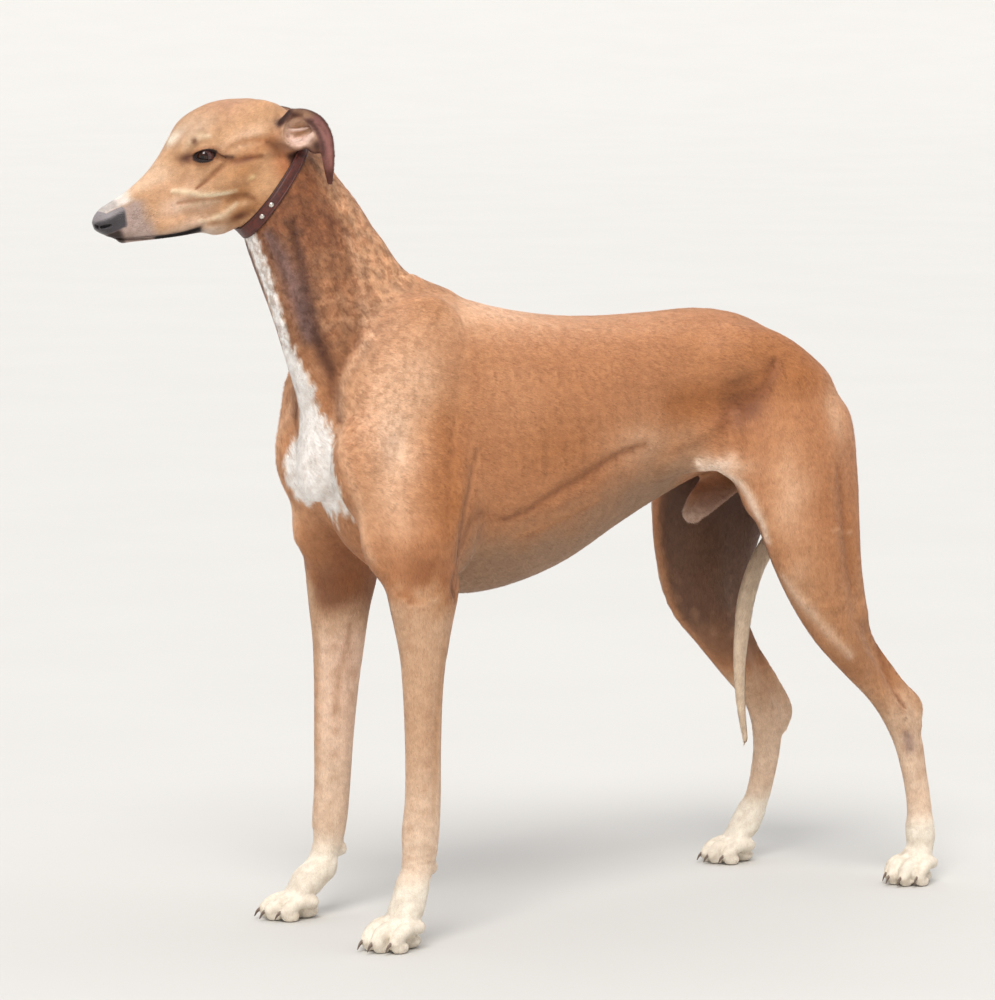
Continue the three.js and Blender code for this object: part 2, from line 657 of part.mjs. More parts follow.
// Each point moves on to the true surface, except on the sides of the box
function settle(points, masses, box, cell) {
  const step = 0.05 * cell;
  const low = box.min.toArray();
  const high = box.max.toArray();
  for (let i = 0; i < points.length; i += 3) {
    const [x, y, z] = points.slice(i, i + 3);
    if ([x, y, z].some((v, k) => v < low[k] + 1.2 * cell || v > high[k] - 1.2 * cell)) continue;
    const value = valueAt(masses, x, y, z);
    const slope = [
      (valueAt(masses, x + step, y, z) - value) / step,
      (valueAt(masses, x, y + step, z) - value) / step,
      (valueAt(masses, x, y, z + step) - value) / step,
    ];
    const steepness = Math.max(slope[0] ** 2 + slope[1] ** 2 + slope[2] ** 2, 0.25);
    const move = THREE.MathUtils.clamp(-value / steepness, -0.3 * cell, 0.3 * cell);
    for (let k = 0; k < 3; k++) points[i + k] += move * slope[k];
  }
}

// Thinning: edges close one by one, those first whose loss moves the surface least
class Thinner {
  constructor({ points, faces }) {
    this.at = Float64Array.from(points);
    this.corner = Int32Array.from(faces);
    this.faceCount = faces.length / 3;
    const count = points.length / 3;
    this.quadric = new Float64Array(count * 10);
    this.around = Array.from({ length: count }, () => []);
    this.version = new Uint32Array(count);
    this.stamp = new Int32Array(count);
    this.tick = 0;
    this.heap = [];
    for (let f = 0; f < this.faceCount; f++) {
      const normal = this.normal(f);
      const area = Math.hypot(...normal) || 1e-12;
      const [x, y, z] = normal.map((v) => v / area);
      const a = this.corner[3 * f];
      const d = -(x * this.at[3 * a] + y * this.at[3 * a + 1] + z * this.at[3 * a + 2]);
      const terms = [x * x, x * y, x * z, x * d, y * y, y * z, y * d, z * z, z * d, d * d];
      for (let c = 0; c < 3; c++) {
        const v = this.corner[3 * f + c];
        this.around[v].push(f);
        for (let k = 0; k < 10; k++) this.quadric[10 * v + k] += (terms[k] * area) / 2;
      }
    }
  }

  normal(f, moved = -1, spot = null) {
    const { at, corner } = this;
    const p = [];
    for (let c = 0; c < 3; c++) {
      const v = corner[3 * f + c];
      if (v === moved) p.push(spot[0], spot[1], spot[2]);
      else p.push(at[3 * v], at[3 * v + 1], at[3 * v + 2]);
    }
    const [ux, uy, uz] = [p[3] - p[0], p[4] - p[1], p[5] - p[2]];
    const [vx, vy, vz] = [p[6] - p[0], p[7] - p[1], p[8] - p[2]];
    const [wx, wy, wz] = [p[6] - p[3], p[7] - p[4], p[8] - p[5]];
    this.longest = Math.max(ux * ux + uy * uy + uz * uz, vx * vx + vy * vy + vz * vz, wx * wx + wy * wy + wz * wz);
    return [uy * vz - uz * vy, uz * vx - ux * vz, ux * vy - uy * vx];
  }

  neighbours(v) {
    const found = [];
    const tick = ++this.tick;
    for (const f of this.around[v]) {
      for (let c = 0; c < 3; c++) {
        const n = this.corner[3 * f + c];
        if (n === v || this.stamp[n] === tick) continue;
        this.stamp[n] = tick;
        found.push(n);
      }
    }
    return found;
  }

  offer(a, b) {
    const { at, quadric } = this;
    const q = [];
    for (let k = 0; k < 10; k++) q.push(quadric[10 * a + k] + quadric[10 * b + k]);
    const error = (x, y, z) =>
      q[0] * x * x + 2 * q[1] * x * y + 2 * q[2] * x * z + 2 * q[3] * x + q[4] * y * y + 2 * q[5] * y * z +
      2 * q[6] * y + q[7] * z * z + 2 * q[8] * z + q[9];
    const d = [0, 1, 2].map((k) => at[3 * a + k] - at[3 * b + k]);
    const long = d[0] ** 2 + d[1] ** 2 + d[2] ** 2;
    let spot = [0, 1, 2].map((k) => (at[3 * a + k] + at[3 * b + k]) / 2);
    const [xx, xy, xz, xd, yy, yz, yd, zz, zd] = q;
    const det = xx * (yy * zz - yz * yz) - xy * (xy * zz - yz * xz) + xz * (xy * yz - yy * xz);
    if (Math.abs(det) > 1e-4 * (xx + yy + zz) ** 3) {
      const exact = [
        (-xd * (yy * zz - yz * yz) + yd * (xy * zz - xz * yz) - zd * (xy * yz - xz * yy)) / det,
        (xd * (xy * zz - yz * xz) - yd * (xx * zz - xz * xz) + zd * (xx * yz - xz * xy)) / det,
        (-xd * (xy * yz - yy * xz) + yd * (xx * yz - xy * xz) - zd * (xx * yy - xy * xy)) / det,
      ];
      const shift = exact.reduce((sum, v, k) => sum + (v - spot[k]) ** 2, 0);
      if (shift < long) spot = exact;
    }
    const cost = error(...spot) + 4e-4 * long * long;
    this.push({ a, b, spot, cost, versions: this.version[a] + this.version[b] });
  }

  push(item) {
    const { heap } = this;
    let i = heap.length;
    heap.push(item);
    while (i > 0) {
      const parent = (i - 1) >> 1;
      if (heap[parent].cost <= item.cost) break;
      heap[i] = heap[parent];
      i = parent;
    }
    heap[i] = item;
  }

  pop() {
    const { heap } = this;
    const top = heap[0];
    const item = heap.pop();
    const count = heap.length;
    if (count === 0) return top;
    let i = 0;
    for (;;) {
      let child = 2 * i + 1;
      if (child >= count) break;
      if (child + 1 < count && heap[child + 1].cost < heap[child].cost) child++;
      if (heap[child].cost >= item.cost) break;
      heap[i] = heap[child];
      i = child;
    }
    heap[i] = item;
    return top;
  }

  // Whether a face around v would turn over, or become a sliver, if v moved to the spot
  spoils(v, other, spot) {
    for (const f of this.around[v]) {
      const [p, q, r] = [this.corner[3 * f], this.corner[3 * f + 1], this.corner[3 * f + 2]];
      if (p === other || q === other || r === other) continue;
      const before = this.normal(f);
      const sizeBefore = Math.hypot(...before);
      const shapeBefore = sizeBefore / this.longest;
      const after = this.normal(f, v, spot);
      const size = Math.hypot(...after);
      const shape = size / this.longest;
      if (shape < 0.12 && shape < shapeBefore) return true;
      const dot = before[0] * after[0] + before[1] * after[1] + before[2] * after[2];
      if (dot < 0.4 * sizeBefore * size && shapeBefore > 0.02) return true;
    }
    return false;
  }

  thin(budget) {
    const { at, corner, quadric, around, version } = this;
    const alive = new Uint8Array(this.faceCount).fill(1);
    for (let f = 0; f < this.faceCount; f++) {
      for (let k = 0; k < 3; k++) {
        const [a, b] = [corner[3 * f + k], corner[3 * f + ((k + 1) % 3)]];
        if (a < b) this.offer(a, b);
      }
    }
    let count = this.faceCount;
    while (count > budget && this.heap.length) {
      const { a, b, spot, versions } = this.pop();
      if (!around[a].length || !around[b].length || versions !== version[a] + version[b]) continue;
      const shared = around[a].filter((f) => around[b].includes(f));
      if (shared.length !== 2) continue;
      const near = this.neighbours(b);
      if (this.neighbours(a).filter((n) => near.includes(n)).length !== 2) continue;
      if (this.spoils(a, b, spot) || this.spoils(b, a, spot)) continue;
      at.set(spot, 3 * a);
      for (let k = 0; k < 10; k++) quadric[10 * a + k] += quadric[10 * b + k];
      for (const f of shared) {
        alive[f] = 0;
        count--;
        for (let c = 0; c < 3; c++) {
          const v = corner[3 * f + c];
          around[v] = around[v].filter((g) => g !== f);
        }
      }
      for (const f of around[b]) {
        for (let k = 0; k < 3; k++) if (corner[3 * f + k] === b) corner[3 * f + k] = a;
        around[a].push(f);
      }
      around[b] = [];
      version[a]++;
      for (const n of this.neighbours(a)) this.offer(a, n);
    }
    const used = new Map();
    const vertProperties = [];
    const triVerts = [];
    for (let f = 0; f < this.faceCount; f++) {
      if (!alive[f]) continue;
      for (let c = 0; c < 3; c++) {
        const v = corner[3 * f + c];
        if (!used.has(v)) {
          used.set(v, vertProperties.length / 3);
          vertProperties.push(at[3 * v], at[3 * v + 1], at[3 * v + 2]);
        }
        triVerts.push(used.get(v));
      }
    }
    return new Polyhedron({
      numProp: 3,
      vertProperties: Float32Array.from(vertProperties),
      triVerts: Uint32Array.from(triVerts),
    });
  }
}

// A solid of one stretch of the flesh
function grown(flesh, box, cell, budget) {
  return largest(new Manifold(new Thinner(surface(flesh.masses, box, cell)).thin(budget)));
}

// Only the largest closed surface, which fills a sealed hollow and drops a loose scrap
function largest(solid) {
  return solid.decompose().reduce((a, b) => (a.volume() > b.volume() ? a : b));
}

function boxOf(x0, x1, y0, y1, z0, z1) {
  return new THREE.Box3(new THREE.Vector3(x0, y0, z0), new THREE.Vector3(x1, y1, z1));
}

// Cutting solids, each moved out, or in where it is negative, by `shift`
// A solid of these corners and triangles, faces turned out
function closed(corners, triangles) {
  const build = (order) => new Manifold(new Polyhedron({
    numProp: 3, vertProperties: Float32Array.from(corners), triVerts: Uint32Array.from(order),
  }));
  const solid = build(triangles);
  if (solid.volume() > 0) return solid;
  const turned = [];
  for (let i = 0; i < triangles.length; i += 3) turned.push(triangles[i], triangles[i + 2], triangles[i + 1]);
  return build(turned);
}

// A horn swept along points, for claws
function horn(points, radii, sides = 6) {
  const path = points.map((point) => new THREE.Vector3(...point));
  const vertProperties = [];
  const triVerts = [];
  path.forEach((point, i) => {
    const along = path[Math.min(i + 1, path.length - 1)].clone().sub(path[Math.max(i - 1, 0)]).normalize();
    const up = new THREE.Vector3(0, 0, 1).addScaledVector(along, -along.z).normalize();
    const across = new THREE.Vector3().crossVectors(along, up);
    for (let k = 0; k < sides; k++) {
      const turn = (2 * Math.PI * k) / sides;
      const spot = point.clone().addScaledVector(up, radii[i] * Math.cos(turn))
        .addScaledVector(across, 0.75 * radii[i] * Math.sin(turn));
      vertProperties.push(...spot.toArray());
    }
  });
  const last = path.length - 1;
  for (let i = 0; i < last; i++) {
    for (let k = 0; k < sides; k++) {
      const [a, b] = [i * sides + k, i * sides + ((k + 1) % sides)];
      triVerts.push(a, b, b + sides, a, b + sides, a + sides);
    }
  }
  for (let k = 1; k < sides - 1; k++) {
    triVerts.push(0, k + 1, k, last * sides, last * sides + k, last * sides + k + 1);
  }
  return closed(vertProperties, triVerts);
}

function solidFrom(geometry, matrix = new THREE.Matrix4()) {
  const shape = geometry.clone().applyMatrix4(matrix);
  const points = shape.getAttribute("position");
  const index = new Map();
  const vertProperties = [];
  const triVerts = [];
  const order = shape.index ? shape.index.array : Uint32Array.from({ length: points.count }, (_, i) => i);
  for (const i of order) {
    const spot = [points.getX(i), points.getY(i), points.getZ(i)];
    const key = spot.map((v) => Math.round(v * 1e4)).join();
    if (!index.has(key)) {
      index.set(key, vertProperties.length / 3);
      vertProperties.push(...spot);
    }
    triVerts.push(index.get(key));
  }
  const kept = [];
  for (let i = 0; i < triVerts.length; i += 3) {
    const [a, b, c] = triVerts.slice(i, i + 3);
    if (a !== b && b !== c && a !== c) kept.push(a, b, c);
  }
  return closed(vertProperties, kept);
}

function brick(frame, [x0, x1, y0, y1, z0, z1], shift) {
  const size = [x1 - x0, y1 - y0, z1 - z0].map((length) => length + 2 * shift);
  const middle = new THREE.Matrix4().makeTranslation((x0 + x1) / 2, (y0 + y1) / 2, (z0 + z1) / 2);
  return solidFrom(new THREE.BoxGeometry(...size), frame.clone().multiply(middle));
}

const world = new THREE.Matrix4();
const onHead = (a, s, b) => new THREE.Vector3(a, s, b).applyMatrix4(headFrame).toArray();
const alongHead = (a, s, b) => new THREE.Vector3(a, s, b).transformDirection(headFrame).toArray();

// A slanted region starts at its frame's origin and runs along the frame's X
const neckRegion = (shift) => brick(frameOf([30, 0, 665], [-0.8, 0, 0.6], [0, 0, 1]), [0, 460, -200, 200, -220, 240], shift);
const collarFrame = frameOf(onHead(61, 0, -34), alongHead(0.485, 0, 0.875), alongHead(-0.875, 0, 0.485));
const headRegion = (shift) => brick(collarFrame, [0, 420, -160, 160, -260, 160], shift);
function earRegion(s) {
  const root = frameOf(onHead(8, s * 36, 9), alongHead(-0.25, s * 0.95, 0.1), alongHead(0, 0, 1));
  return (shift) => brick(root, [0, 60, -32, 52, -24, 52], shift).intersect(brick(headFrame, [-60, 31, -90, 90, -15, 39], shift))
    .add(brick(headFrame, [-42, 22, s * 58 - 15, s * 58 + 15, -80, -12], shift));
}
const noseFrame = frameOf(onHead(229, 0, -7), alongHead(0.97, 0, -0.24), alongHead(0.24, 0, 0.97));
const noseRegion = (shift) => brick(noseFrame, [0, 60, -40, 40, 0, 60], shift);
const tailRegion = (shift) => brick(world, [600, 730, -26, 38, 424, 496], shift)
  .add(brick(world, [545, 730, -12, 46, 100, 440], shift));

function foreRegion(side) {
  const reach = side === left ? [-200, -54] : [54, 200];
  return (shift) => brick(world, [-110, 150, ...reach, -60, 398], shift);
}

function hindRegion(side) {
  const slope = frameOf([620, side * 70, 572], [0.42, side * 0.77, -0.6], [-1, 0, 0]);
  const reach = side === left ? [-240, -27] : [27, 240];
  return (shift) => brick(slope, [0, 900, -500, 500, -500, 500], shift)
    .intersect(brick(world, [430, 860, ...reach, -60, 700], shift));
}

const pawHeights = { left_front: 58, right_front: 54, left_hind: 60, right_hind: 56 };
const pawRegion = (name) => (shift) => {
  const { x, y } = new THREE.Vector3().setFromMatrixPosition(feet[name].frame);
  return brick(world, [x - 90, x + 70, y - 60, y + 60, -60, pawHeights[name]], shift);
};

const inside = (solid, region) => solid.intersect(region(-seam / 2));
const outside = (solid, region) => solid.subtract(region(seam / 2));
const overGround = (solid) => solid.intersect(brick(world, [-400, 900, -300, 300, 0, 1200], 0));

// The pieces
const dog = new THREE.Group();
const coat = { fawn: 0xb98352, pale: 0xe6cfae };

function addPiece(name, solid, color, roughness = 0.8, metalness = 0) {
  const { vertProperties, triVerts, numProp, numVert } = largest(solid).getMesh();
  const points = new Float32Array(numVert * 3);
  for (let i = 0; i < numVert; i++) points.set(vertProperties.subarray(i * numProp, i * numProp + 3), i * 3);
  const geometry = new THREE.BufferGeometry()
    .setAttribute("position", new THREE.BufferAttribute(points, 3))
    .setIndex(new THREE.BufferAttribute(triVerts, 1));
  geometry.computeVertexNormals();
  const mesh = new THREE.Mesh(geometry, new THREE.MeshStandardMaterial({ color, roughness, metalness }));
  mesh.name = name;
  dog.add(mesh);
}

const trunkSolid = grown(body, boxOf(-180, 790, -160, 165, 38, 930), 5.5, 5400);
const foreRegions = { left_front: foreRegion(left), right_front: foreRegion(right) };
const hindRegions = { left_hind: hindRegion(left), right_hind: hindRegion(right) };
const legRegions = { ...foreRegions, ...hindRegions };
const neckFlesh = new Flesh().take(trunk()).take(neck()).take(head());

let torso = outside(outside(trunkSolid, neckRegion), tailRegion);
for (const region of Object.values(legRegions)) torso = outside(torso, region);
addPiece("torso", torso, coat.fawn);

let neckPiece = outside(inside(trunkSolid, neckRegion), headRegion);
for (const s of [-1, 1]) neckPiece = outside(neckPiece, earRegion(s));

// Collar: a strap that follows the neck just under the jaw, with studs and a ring for a lead at the nape
const collar = { width: 13, sunk: 1.2, thickness: 3.2, below: 9 };

function skinAt(turn, x) {
  const point = new THREE.Vector3();
  const depth = (radius) => {
    point.set(x, radius * Math.cos(turn), radius * Math.sin(turn)).applyMatrix4(collarFrame);
    return valueAt(neckFlesh.masses, point.x, point.y, point.z);
  };
  let [low, high] = [10, 140];
  for (let i = 0; i < 24; i++) {
    const middle = (low + high) / 2;
    if (depth(middle) < 0) low = middle;
    else high = middle;
  }
  return low;
}

// The strap, grown for the seam around it, and with `cover` for the room above it
function strap(grow, cover = 0) {
  const steps = 40;
  const vertProperties = [];
  const triVerts = [];
  for (let i = 0; i < steps; i++) {
    const turn = (2 * Math.PI * i) / steps;
    for (const [end, rim] of [[-1, 0], [1, 0], [1, 1], [-1, 1]]) {
      const x = -collar.below + end * (collar.width / 2 + grow);
      const skin = skinAt(turn, -collar.below + (end * collar.width) / 2) - collar.sunk;
      const radius = rim ? skin + collar.thickness + grow + cover : skin - grow;
      const spot = new THREE.Vector3(x, radius * Math.cos(turn), radius * Math.sin(turn)).applyMatrix4(collarFrame);
      vertProperties.push(...spot.toArray());
    }
    const next = ((i + 1) % steps) * 4;
    for (let k = 0; k < 4; k++) {
      const [a, b] = [i * 4 + k, i * 4 + ((k + 1) % 4)];
      const [c, d] = [next + k, next + ((k + 1) % 4)];
      triVerts.push(a, b, d, a, d, c);
    }
  }
  return closed(vertProperties, triVerts);
}

function onStrap(turn, lift) {
  const rims = [-0.5, 0.5].map((end) => skinAt(turn, -collar.below + end * collar.width));
  const radius = (rims[0] + rims[1]) / 2 - collar.sunk + collar.thickness + lift;
  const spot = new THREE.Vector3(-collar.below, radius * Math.cos(turn), radius * Math.sin(turn)).applyMatrix4(collarFrame);
  const out = new THREE.Vector3(0, Math.cos(turn), Math.sin(turn)).transformDirection(collarFrame);
  const along = new THREE.Vector3(1, 0, 0).transformDirection(collarFrame);
  return new THREE.Matrix4().makeBasis(new THREE.Vector3().crossVectors(out, along), out, along).setPosition(spot);
}

const stud = 3.2; // radius
const studTurns = [-18, -34, -146, -162].map((degrees) => THREE.MathUtils.degToRad(degrees));
const studSolid = (turn) => solidFrom(
  new THREE.LatheGeometry([[0, 0], [stud, 0], [0.94 * stud, 0.9], [0.62 * stud, 1.8], [0, 2.2]].map(([r, h]) => new THREE.Vector2(r, h)), 12),
  onStrap(turn, seam),
);
const studSocket = (turn) => solidFrom(
  new THREE.LatheGeometry([[0, -seam], [stud + seam, -seam], [stud + seam, 4], [0, 4]].map(([r, h]) => new THREE.Vector2(r, h)), 12),
  onStrap(turn, seam),
);
const ringTurn = THREE.MathUtils.degToRad(98);
const ringRadius = 8.5;
const ringSolid = (grow) => solidFrom(
  new THREE.TorusGeometry(ringRadius, 1.4 + grow, 6, 18).rotateY(Math.PI / 2), onStrap(ringTurn, ringRadius + 2.4),
);
const keeperSolid = (grow) => solidFrom(
  new THREE.CylinderGeometry(3.6 + grow, 3.6 + grow, 10 + 2 * grow, 12).rotateX(Math.PI / 2).rotateY(Math.PI / 2).scale(1.3, 1, 1),
  onStrap(ringTurn, 3.6 + seam),
);

const eyeBall = (s, grow) => {
  const shape = new THREE.SphereGeometry(eyeRadius + grow, 16, 10).rotateZ(-Math.PI / 2);
  const gaze = headFrame.clone().multiply(frameOf(eyeSpot(s), [0.5, s * 0.86, 0.1], [0, 0, 1]));
  return solidFrom(shape, gaze);
};

const headSolid = grown(eared, boxOf(-310, 60, -40, 170, 750, 1010), 2.1, 3700);
let headPiece = outside(inside(headSolid, headRegion), noseRegion);
for (const s of [1, -1]) {
  const side = s > 0 ? "left" : "right";
  headPiece = outside(headPiece, earRegion(s)).subtract(eyeBall(s, seam));
  const middle = new THREE.Vector3(...onHead(-2, s * 48, -12));
  const box = new THREE.Box3().setFromCenterAndSize(middle, new THREE.Vector3(110, 76, 130));
  addPiece("ear_" + side, inside(grown(eared, box, 1.7, 850), earRegion(s)).subtract(strap(seam)), coat.fawn);
  addPiece("eye_" + side, eyeBall(s, 0), 0x2a1609, 0.15);
}
addPiece("head", headPiece, coat.fawn);
const noseBox = new THREE.Box3().setFromCenterAndSize(new THREE.Vector3(...onHead(240, 0, 5)), new THREE.Vector3(56, 60, 56));
addPiece("nose", inside(grown(noseLeather().take(head()), noseBox, 1.5, 560), noseRegion), 0x2b2a2c, 0.5);

neckPiece = neckPiece.subtract(strap(seam, 8));
addPiece("neck", neckPiece, coat.fawn);
let strapPiece = strap(0).subtract(keeperSolid(seam));
for (const turn of studTurns) strapPiece = strapPiece.subtract(studSocket(turn));
addPiece("collar_strap", strapPiece, 0x4a1f14, 0.55);
studTurns.forEach((turn, i) => addPiece("collar_stud_" + (i + 1), studSolid(turn), 0xd8d4cc, 0.25, 1));
addPiece("collar_keeper", keeperSolid(0).subtract(ringSolid(seam)), 0x4a1f14, 0.55);
addPiece("collar_ring", ringSolid(0), 0xd8d4cc, 0.25, 1);

// Claws stand in sockets at the ends of the toes
const clawNames = ["outer", "outer_middle", "inner_middle", "inner"];

function claw(foot, { reach, spread, thick }, grow) {
  const along = (x, z) => new THREE.Vector3(reach + x, spread * 1.03, z).applyMatrix4(foot.frame).toArray();
  const points = [along(-7 - grow, 14), along(-0.5, 13.2), along(5, 9.6), along(8.6, 3.4)];
  return horn(points, [0.32, 0.3, 0.22, 0.07].map((share) => share * thick + grow));
}

for (const [name, foot] of Object.entries(feet)) {
  addPiece(name + "_leg", outside(outside(inside(trunkSolid, legRegions[name]), pawRegion(name)), tailRegion), coat.fawn);
  const { x, y } = new THREE.Vector3().setFromMatrixPosition(foot.frame);
  const box = boxOf(x - 80, x + 60, y - 55, y + 55, -12, pawHeights[name] + 12);
  let pawPiece = overGround(inside(grown(body, box, 2.4, 640), pawRegion(name)));
  toes.forEach((toe, i) => {
    pawPiece = pawPiece.subtract(claw(foot, toe, seam));
    const order = y < 0 ? i : 3 - i;
    addPiece(name + "_claw_" + clawNames[order], claw(foot, toe, 0), 0x3a2f2a, 0.4);
  });
  addPiece(name + "_paw", pawPiece, coat.pale);
}

addPiece("tail", inside(trunkSolid, tailRegion), coat.pale);

// The origin is the middle of the bottom of the box that holds the dog
const bounds = new THREE.Box3().setFromObject(dog);
const middle = bounds.getCenter(new THREE.Vector3());
for (const piece of dog.children) piece.geometry.translate(-middle.x, -middle.y, -bounds.min.z);

export default dog;
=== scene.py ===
import json
import math
from itertools import product

import bpy
import numpy as np
from mathutils import Matrix, Vector

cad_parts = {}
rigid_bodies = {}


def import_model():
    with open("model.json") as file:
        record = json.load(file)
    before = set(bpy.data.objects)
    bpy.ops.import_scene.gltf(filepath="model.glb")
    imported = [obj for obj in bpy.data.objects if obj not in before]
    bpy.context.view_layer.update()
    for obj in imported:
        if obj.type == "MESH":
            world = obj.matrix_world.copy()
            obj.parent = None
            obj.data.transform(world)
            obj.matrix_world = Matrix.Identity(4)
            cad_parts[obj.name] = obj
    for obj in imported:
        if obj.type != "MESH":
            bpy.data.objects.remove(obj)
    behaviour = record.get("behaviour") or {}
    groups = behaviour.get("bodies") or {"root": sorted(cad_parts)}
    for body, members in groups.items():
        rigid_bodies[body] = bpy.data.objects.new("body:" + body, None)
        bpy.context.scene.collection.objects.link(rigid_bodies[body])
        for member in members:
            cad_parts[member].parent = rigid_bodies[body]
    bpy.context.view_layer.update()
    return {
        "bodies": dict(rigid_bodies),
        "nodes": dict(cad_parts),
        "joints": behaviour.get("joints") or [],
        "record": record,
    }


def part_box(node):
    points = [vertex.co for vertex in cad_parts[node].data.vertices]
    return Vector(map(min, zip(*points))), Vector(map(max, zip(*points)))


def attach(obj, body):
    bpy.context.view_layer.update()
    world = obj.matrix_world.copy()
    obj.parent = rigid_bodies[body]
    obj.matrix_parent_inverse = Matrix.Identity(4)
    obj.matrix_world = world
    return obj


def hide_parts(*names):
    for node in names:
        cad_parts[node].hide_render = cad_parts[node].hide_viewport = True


# Greyhound, life size, standing. The flesh is worked out in millimetres in the frame that it was drawn in,
# and moved at the end to where the model's left eye is. Nose towards -X, the dog's left towards -Y, +Z up.
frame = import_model()
left, right = -1, 1


def curve(knots):
    xs, ys = np.array(knots, float).T
    last = len(xs) - 1
    before, after = np.maximum(np.arange(last + 1) - 1, 0), np.minimum(np.arange(last + 1) + 1, last)
    slope = (ys[after] - ys[before]) / (xs[after] - xs[before])

    def at(x):
        x = np.clip(x, xs[0], xs[-1])
        i = np.clip(np.searchsorted(xs, x, side="right") - 1, 0, last - 1)
        span = xs[i + 1] - xs[i]
        t = (x - xs[i]) / span
        rise = t * t * (3 - 2 * t)
        bend = slope[i] * (1 - t) - slope[i + 1] * t
        return ys[i] + (ys[i + 1] - ys[i]) * rise + span * t * (1 - t) * bend
    return at


def unit(v):
    v = np.asarray(v, float)
    return v / np.linalg.norm(v)


def frameOf(origin, forward, up):   # 4x4 matrix: X forward, Z as near to up as it can be
    x = unit(forward)
    y = unit(np.cross(up, x))
    m = np.eye(4)
    m[:3, 0], m[:3, 1], m[:3, 2], m[:3, 3] = x, y, np.cross(x, y), origin
    return m


def move(matrix, points):
    return points @ matrix[:3, :3].T + matrix[:3, 3]


def ellipsoid(centre, radii, turn=(0, 0, 0)):
    a, b, c = (math.radians(t) for t in turn)   # turned about X, then Y, then Z of its own
    turned = Matrix.Rotation(a, 3, "X") @ Matrix.Rotation(b, 3, "Y") @ Matrix.Rotation(c, 3, "Z")
    axes = np.array(turned) / np.array(radii, float)
    centre = np.array(centre, float)
    reach = max(radii)

    def at(p):
        u = (p - centre) @ axes
        size = np.sqrt((u * u).sum(1))
        steepness = np.sqrt(((u / radii) ** 2).sum(1))
        steepness[steepness == 0] = 1 / reach
        return size * (size - 1) / steepness
    return centre - reach, centre + reach, at


def spline(points):   # points of a centripetal Catmull-Rom curve
    points = np.array(points, float)
    points = np.vstack([2 * points[0] - points[1], points, 2 * points[-1] - points[-2]])

    def at(t):
        count = len(points) - 3
        whole = min(int(t * count), count - 1)
        t = t * count - whole
        p = points[whole:whole + 4]
        d = [max(np.linalg.norm(p[i + 1] - p[i]) ** 0.5, 1e-3) for i in range(3)]
        one = ((p[1] - p[0]) / d[0] - (p[2] - p[0]) / (d[0] + d[1]) + (p[2] - p[1]) / d[1]) * d[1]
        two = ((p[2] - p[1]) / d[1] - (p[3] - p[1]) / (d[1] + d[2]) + (p[3] - p[2]) / d[2]) * d[1]
        return (p[1] + one * t + (3 * (p[2] - p[1]) - 2 * one - two) * t ** 2
                + (2 * (p[1] - p[2]) + one + two) * t ** 3)
    return at


# station: x, y, z, then half thickness fore, aft, to each side
def limb(stations, front=(-1, 0, 0), perStation=4):
    stations = np.array(stations, float)
    gaps = len(stations) - 1
    at = spline(stations[:, :3])
    share = np.arange(gaps * perStation + 1) / (gaps * perStation)
    centre = np.array([at(t) for t in share])
    along = np.array([unit(at(min(t + 1e-4, 1)) - at(max(t - 1e-4, 0))) for t in share])
    fore = np.array(front) - along * (along @ np.array(front))[:, None]
    fore /= np.linalg.norm(fore, axis=1)[:, None]
    side = np.cross(along, fore)
    radius = np.array([curve(list(enumerate(stations[:, 3 + c])))(share * gaps) for c in range(3)]).T
    rings = np.hstack([fore, side, radius]).astype(np.float32)
    reach = radius.max(1)[:, None]

    def value(p):
        nearest = np.full(len(p), np.inf, np.float32)
        piece = np.zeros(len(p), np.int32)
        where = np.zeros(len(p), np.float32)
        for i in range(len(centre) - 1):
            step = centre[i + 1] - centre[i]
            gap = p - centre[i].astype(np.float32)
            t = np.clip(gap @ step.astype(np.float32) / float(step @ step), 0, 1)
            gap -= t[:, None] * step.astype(np.float32)
            far = np.einsum("ij,ij->i", gap, gap)
            closer = far < nearest
            nearest[closer], piece[closer], where[closer] = far[closer], i, t[closer]
        ring = rings[piece] + (rings[piece + 1] - rings[piece]) * where[:, None]
        gap = p - (centre[piece] + (centre[piece + 1] - centre[piece]) * where[:, None])
        f = np.einsum("ij,ij->i", gap, ring[:, 0:3])
        s = np.einsum("ij,ij->i", gap, ring[:, 3:6])
        rest = np.sqrt(np.maximum(nearest - f * f - s * s, 0))
        depth = np.where(f > 0, ring[:, 6], ring[:, 7])
        least = np.minimum(depth, ring[:, 8])
        size = np.sqrt((f / depth) ** 2 + (s / ring[:, 8]) ** 2 + (rest / least) ** 2)
        return np.where(size < 1e-6, -least, np.sqrt(f * f + s * s + rest * rest)
                        * (1 - 1 / np.maximum(size, 1e-6)))
    return (centre - reach).min(0), (centre + reach).max(0), value


def barrel(start, end, blunt, top, bottom, half, belt, upper, lower):   # a mass that lies along X
    topAt, bottomAt, halfAt, beltAt = (curve(k) for k in (top, bottom, half, belt))
    widest = max(k[1] for k in half)
    low = np.array([start, -widest, min(k[1] for k in bottom)], float)
    high = np.array([end, widest, max(k[1] for k in top)], float)

    def at(p):
        x, y, z = p[:, 0], p[:, 1], p[:, 2]
        beyond = np.maximum(np.maximum(start + blunt - x, x - end + blunt), 0)
        middle = beltAt(x)
        above = z > middle
        height = np.where(above, topAt(x) - middle, middle - bottomAt(x))
        power = np.where(above, upper, lower)
        ring = ((np.abs(z - middle) / height) ** power + (np.abs(y) / halfAt(x)) ** power) ** (1 / power)
        size = np.maximum(np.hypot(ring, beyond / blunt), 1e-6)
        return np.sqrt((z - middle) ** 2 + y * y + beyond ** 2) * (1 - 1 / size)
    return low, high, at


